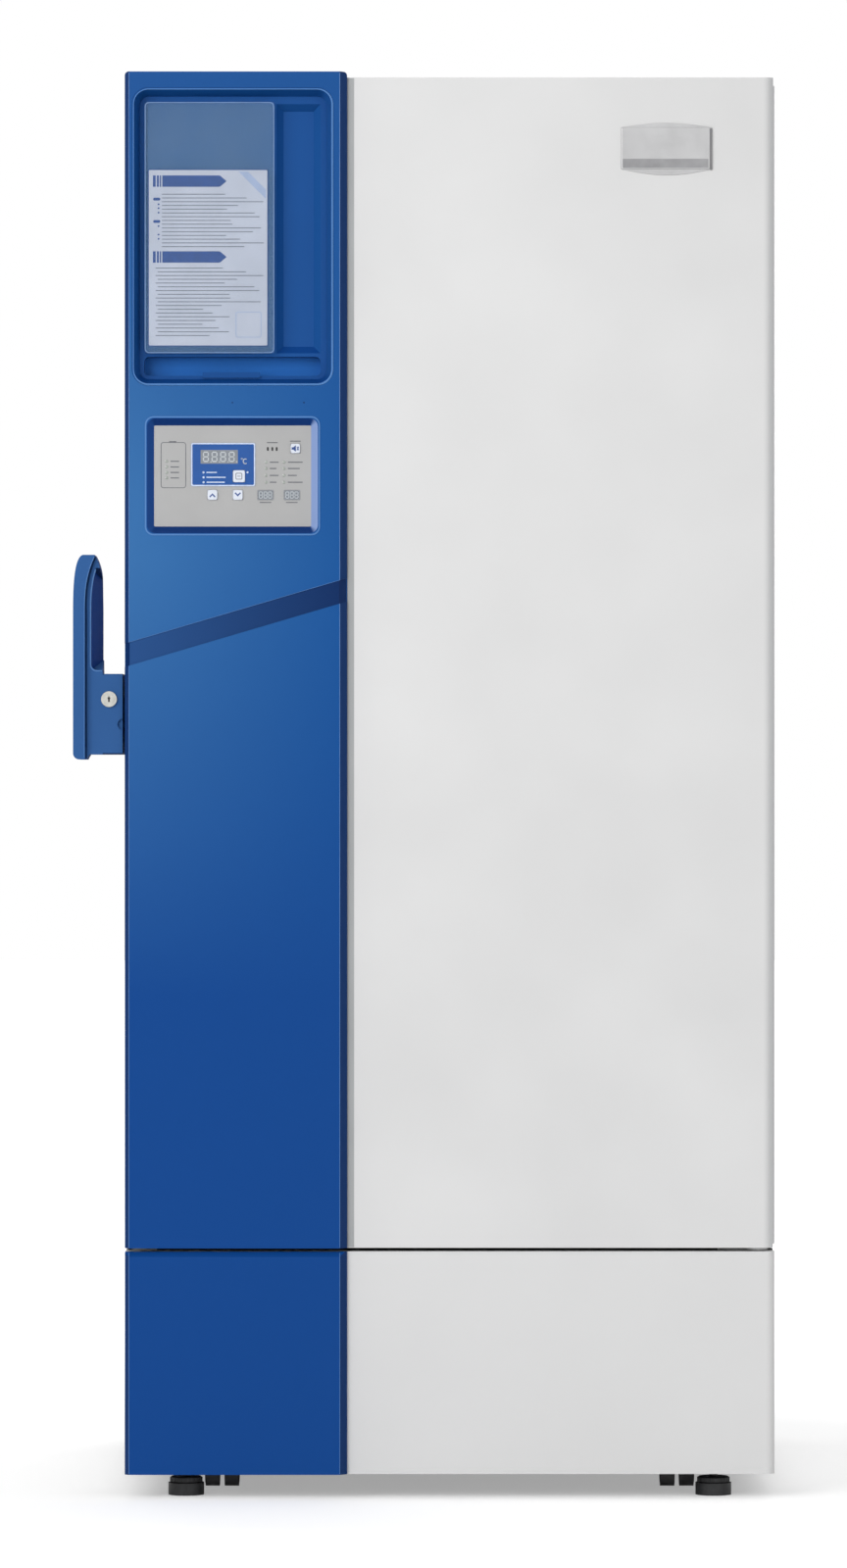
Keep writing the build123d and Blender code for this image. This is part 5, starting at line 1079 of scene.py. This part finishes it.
def wheel_hubs():
    """A raised ring on both sides of every wheel, and hub caps on the front ones."""
    for name in ("front_wheel_left", "front_wheel_right", "rear_wheel_left", "rear_wheel_right"):
        low, high = edges(name)
        _, y, z = centre(name)
        front = name.startswith("front")
        inward = 0.0 if front else AXLE_OVER
        hubs = Build()
        for x, reach in ((low[0] + inward, -HUB_REACH), (high[0] - inward, HUB_REACH)):
            hubs.turned([(r, h * reach) for r, h in HUB_RING], (x, y, z), "X", 36)
            if front:
                hubs.turned([(r, h * reach) for r, h in HUB_CAP], (x, y, z), "X", 28)
        hubs.finish(name + "_hubs", "foot_black", name)


def screw_heads(name, places, axis, way, radius):
    """Low domed screw heads with a round socket on the cabinet, facing way along the axis."""
    heads = Build()
    for place in places:
        heads.turned([(radius * r, h * way) for r, h in SCREW_DOME], place, axis, 18)
    heads.finish(name, "screw_steel", "cabinet")


def rear_screws():
    low, high = edges("rear_panel")
    margin, rows, columns = REAR_SCREWS
    x0, x1, z0, z1 = low[0] + margin, high[0] - margin, low[2] + margin, high[2] - margin
    places = [(x, high[1], z0 + (z1 - z0) * i / rows) for x in (x0, x1) for i in range(rows + 1)]
    places += [(x0 + (x1 - x0) * i / columns, high[1], z) for z in (z0, z1) for i in range(1, columns)]
    screw_heads("rear_screws", places, "Y", 1, SCREW_R)


def hinge_screws():
    """Screw heads on the upper hinge bracket and on the strike."""
    low, high = edges("hinge_bracket_upper")
    across, shares, radius = HINGE_SCREWS
    depth = high[1] - low[1]
    places = [(low[0] + dx, low[1] + depth * share, high[2]) for dx in across for share in shares]
    screw_heads("hinge_screws", places, "Z", 1, radius)
    x = edges("latch_strike")[0][0]
    _, y, z = centre("latch_strike")
    across, up, radius = STRIKE_SCREWS
    places = [(x, y + dy, z + dz) for dy in across for dz in up]
    screw_heads("strike_screws", places, "X", -1, radius)


def gasket_lines():
    """Two darker lines along the face of the door's gasket and of both inner ones: painted shade in its
    folds.
    """
    for node, body, width in GASKETS:
        box, _ = front_of(node)
        y = edges(node)[1][1]
        folds = Build()
        for share in FOLD_SHARES:
            a = width * share
            folds.border(box, (a, a + FOLD_W), FOLD_R, y, y + FOLD_T)
        folds.finish(node + "_folds", "gasket_fold_shade", body)


def blade_section(start, way, z, slot_h, depth):
    """Section of a sloping blade that goes inwards from start, behind a slot at z."""
    top, bottom = z + slot_h + 2.0, z - 3.0
    return [(start + way * 0.2, top), (start + way * depth, bottom),
            (start + way * (depth + 1.0), bottom + 0.6), (start + way * 1.4, top + 0.4)]


def louvre_blades():
    """Sloping blades behind the slots of the side sheets and the rear panel."""
    shell_low, shell_high = edges("outer_shell")
    back = edges("rear_panel")[0][1]
    y1 = back - LOUVRE_IN
    for side, x, way in (("left", shell_low[0] + SHELL_T, 1), ("right", shell_high[0] - SHELL_T, -1)):
        blades = Build()
        for i in range(LOUVRE_ROWS):
            section = blade_section(x, way, LOUVRE_Z + i * LOUVRE_PITCH, LOUVRE_H, SIDE_BLADE)
            blades.prism(section, y1 - LOUVRE_L - BLADE_END, y1 + BLADE_END)
        blades.finish("side_louvre_blades_" + side, "white_paint", "cabinet")
    blades = Build()
    for column in range(REAR_VENT_COLUMNS):
        x0 = shell_low[0] + REAR_VENT_LEFT + column * (REAR_VENT_W + REAR_VENT_GAP)
        for i in range(REAR_VENT_ROWS):
            z = REAR_VENT_Z + i * REAR_VENT_PITCH
            section = blade_section(back, -1, z, REAR_VENT_PITCH / 3, REAR_BLADE)
            ends = (x0 - BLADE_END, x0 + REAR_VENT_W + BLADE_END)
            blades.between(*([(x, y, h) for y, h in section] for x in ends))
    blades.finish("rear_louvre_blades", "sheet_steel", "cabinet")


def compressor_seams():
    """Weld seam around each compressor's can."""
    low, high = edges("compressors")
    r = (high[1] - low[1]) / 2
    y, z = (low[1] + high[1]) / 2, low[2] + (high[2] - low[2]) * SEAM_SHARE
    for side, x in (("left", low[0] + r), ("right", high[0] - r)):
        seam = Build()
        seam.tube([(px, py, z) for px, py in circle(x, y, r + SEAM_OUT, 48)], SEAM_R, 6, closed=True)
        seam.finish("compressor_seam_" + side, "black_steel", "cabinet")


# Camera, light and floor

def make_camera():
    data = bpy.data.cameras.new("camera")
    data.sensor_fit = "VERTICAL"
    data.sensor_height = SENSOR
    data.lens = SENSOR * CAMERA_AWAY / FRAME_HEIGHT
    camera = add_object("camera", data)
    camera.location = (CAMERA_X, CAD_BOX[0][1] - CAMERA_AWAY, CAMERA_HEIGHT)
    camera.rotation_euler = (radians(90), 0, 0)
    bpy.context.scene.camera = camera


def area_light(name, size, power, place, target):
    data = bpy.data.lights.new(name, "AREA")
    data.shape = "RECTANGLE"
    data.size, data.size_y = size
    data.energy = power
    lamp = add_object(name, data)
    lamp.location = place
    lamp.rotation_euler = (Vector(target) - Vector(place)).to_track_quat("-Z", "Y").to_euler()


def greater(tree, a, b):
    node = tree.nodes.new("ShaderNodeMath")
    node.operation = "MAXIMUM"
    tree.links.new(a, node.inputs[0])
    tree.links.new(b, node.inputs[1])
    return node.outputs["Value"]


def make_world():
    """Soft even light, and plain white where the surroundings are seen or mirrored."""
    world = bpy.data.worlds.new("studio")
    bpy.context.scene.world = world
    world.use_nodes = True
    tree = world.node_tree
    light = tree.nodes["Background"]
    seen = tree.nodes.new("ShaderNodeBackground")
    for node, strength in ((light, WORLD_LIGHT), (seen, 1.0)):
        put(node, {"Color": WHITE, "Strength": strength})
    rays = tree.nodes.new("ShaderNodeLightPath").outputs
    either = greater(tree, rays["Is Camera Ray"], rays["Is Transmission Ray"])
    mix = tree.nodes.new("ShaderNodeMixShader")
    tree.links.new(greater(tree, either, rays["Is Glossy Ray"]), mix.inputs["Fac"])
    tree.links.new(light.outputs["Background"], mix.inputs[1])
    tree.links.new(seen.outputs["Background"], mix.inputs[2])
    tree.links.new(mix.outputs["Shader"], tree.nodes["World Output"].inputs["Surface"])


def make_floor():
    """Pale floor that takes the shadow and fades to white away from the part."""
    bm = bmesh.new()
    bmesh.ops.create_grid(bm, x_segments=1, y_segments=1, size=FLOOR_SIZE)
    data = bpy.data.meshes.new("floor")
    bm.to_mesh(data)
    bm.free()
    floor = add_object("floor", data)
    graph = Graph("floor_white")
    graph.feed(graph.tint(graph.noise(400.0), *FLOOR_TONES), "Base Color")
    put(graph.shader, {"Roughness": 0.9, "Emission Color": WHITE})
    away = graph.add("ShaderNodeVectorMath", operation="LENGTH")
    graph.link(graph.place, away.inputs[0])
    glow = graph.span(away.outputs["Value"], *FLOOR_GLOW, *FLOOR_FADE)
    path = graph.add("ShaderNodeLightPath")
    lift = graph.add("ShaderNodeMath", operation="MULTIPLY")
    graph.link(path.outputs["Is Camera Ray"], lift.inputs[0])
    graph.link(glow, lift.inputs[1])
    graph.feed(lift.outputs["Value"], "Emission Strength")
    data.materials.append(graph.material)


def make_studio():
    bpy.context.scene.view_settings.view_transform = "Standard"
    make_camera()
    make_world()
    make_floor()
    for lamp in LAMPS:
        area_light(*lamp)


dress_frame()
for node_name, edge_width in EDGE_WIDTHS.items():
    soften(NODES[node_name], edge_width)
card_and_pocket()
display_print()
faceplate_print()
bezel_line()
button_marks()
badge_plate()
door_grey_band()
lock_details()
handle_rim()
tray_rim()
fascia_lines()
foot_collars()
wheel_hubs()
rear_screws()
hinge_screws()
gasket_lines()
louvre_blades()
compressor_seams()
make_studio()
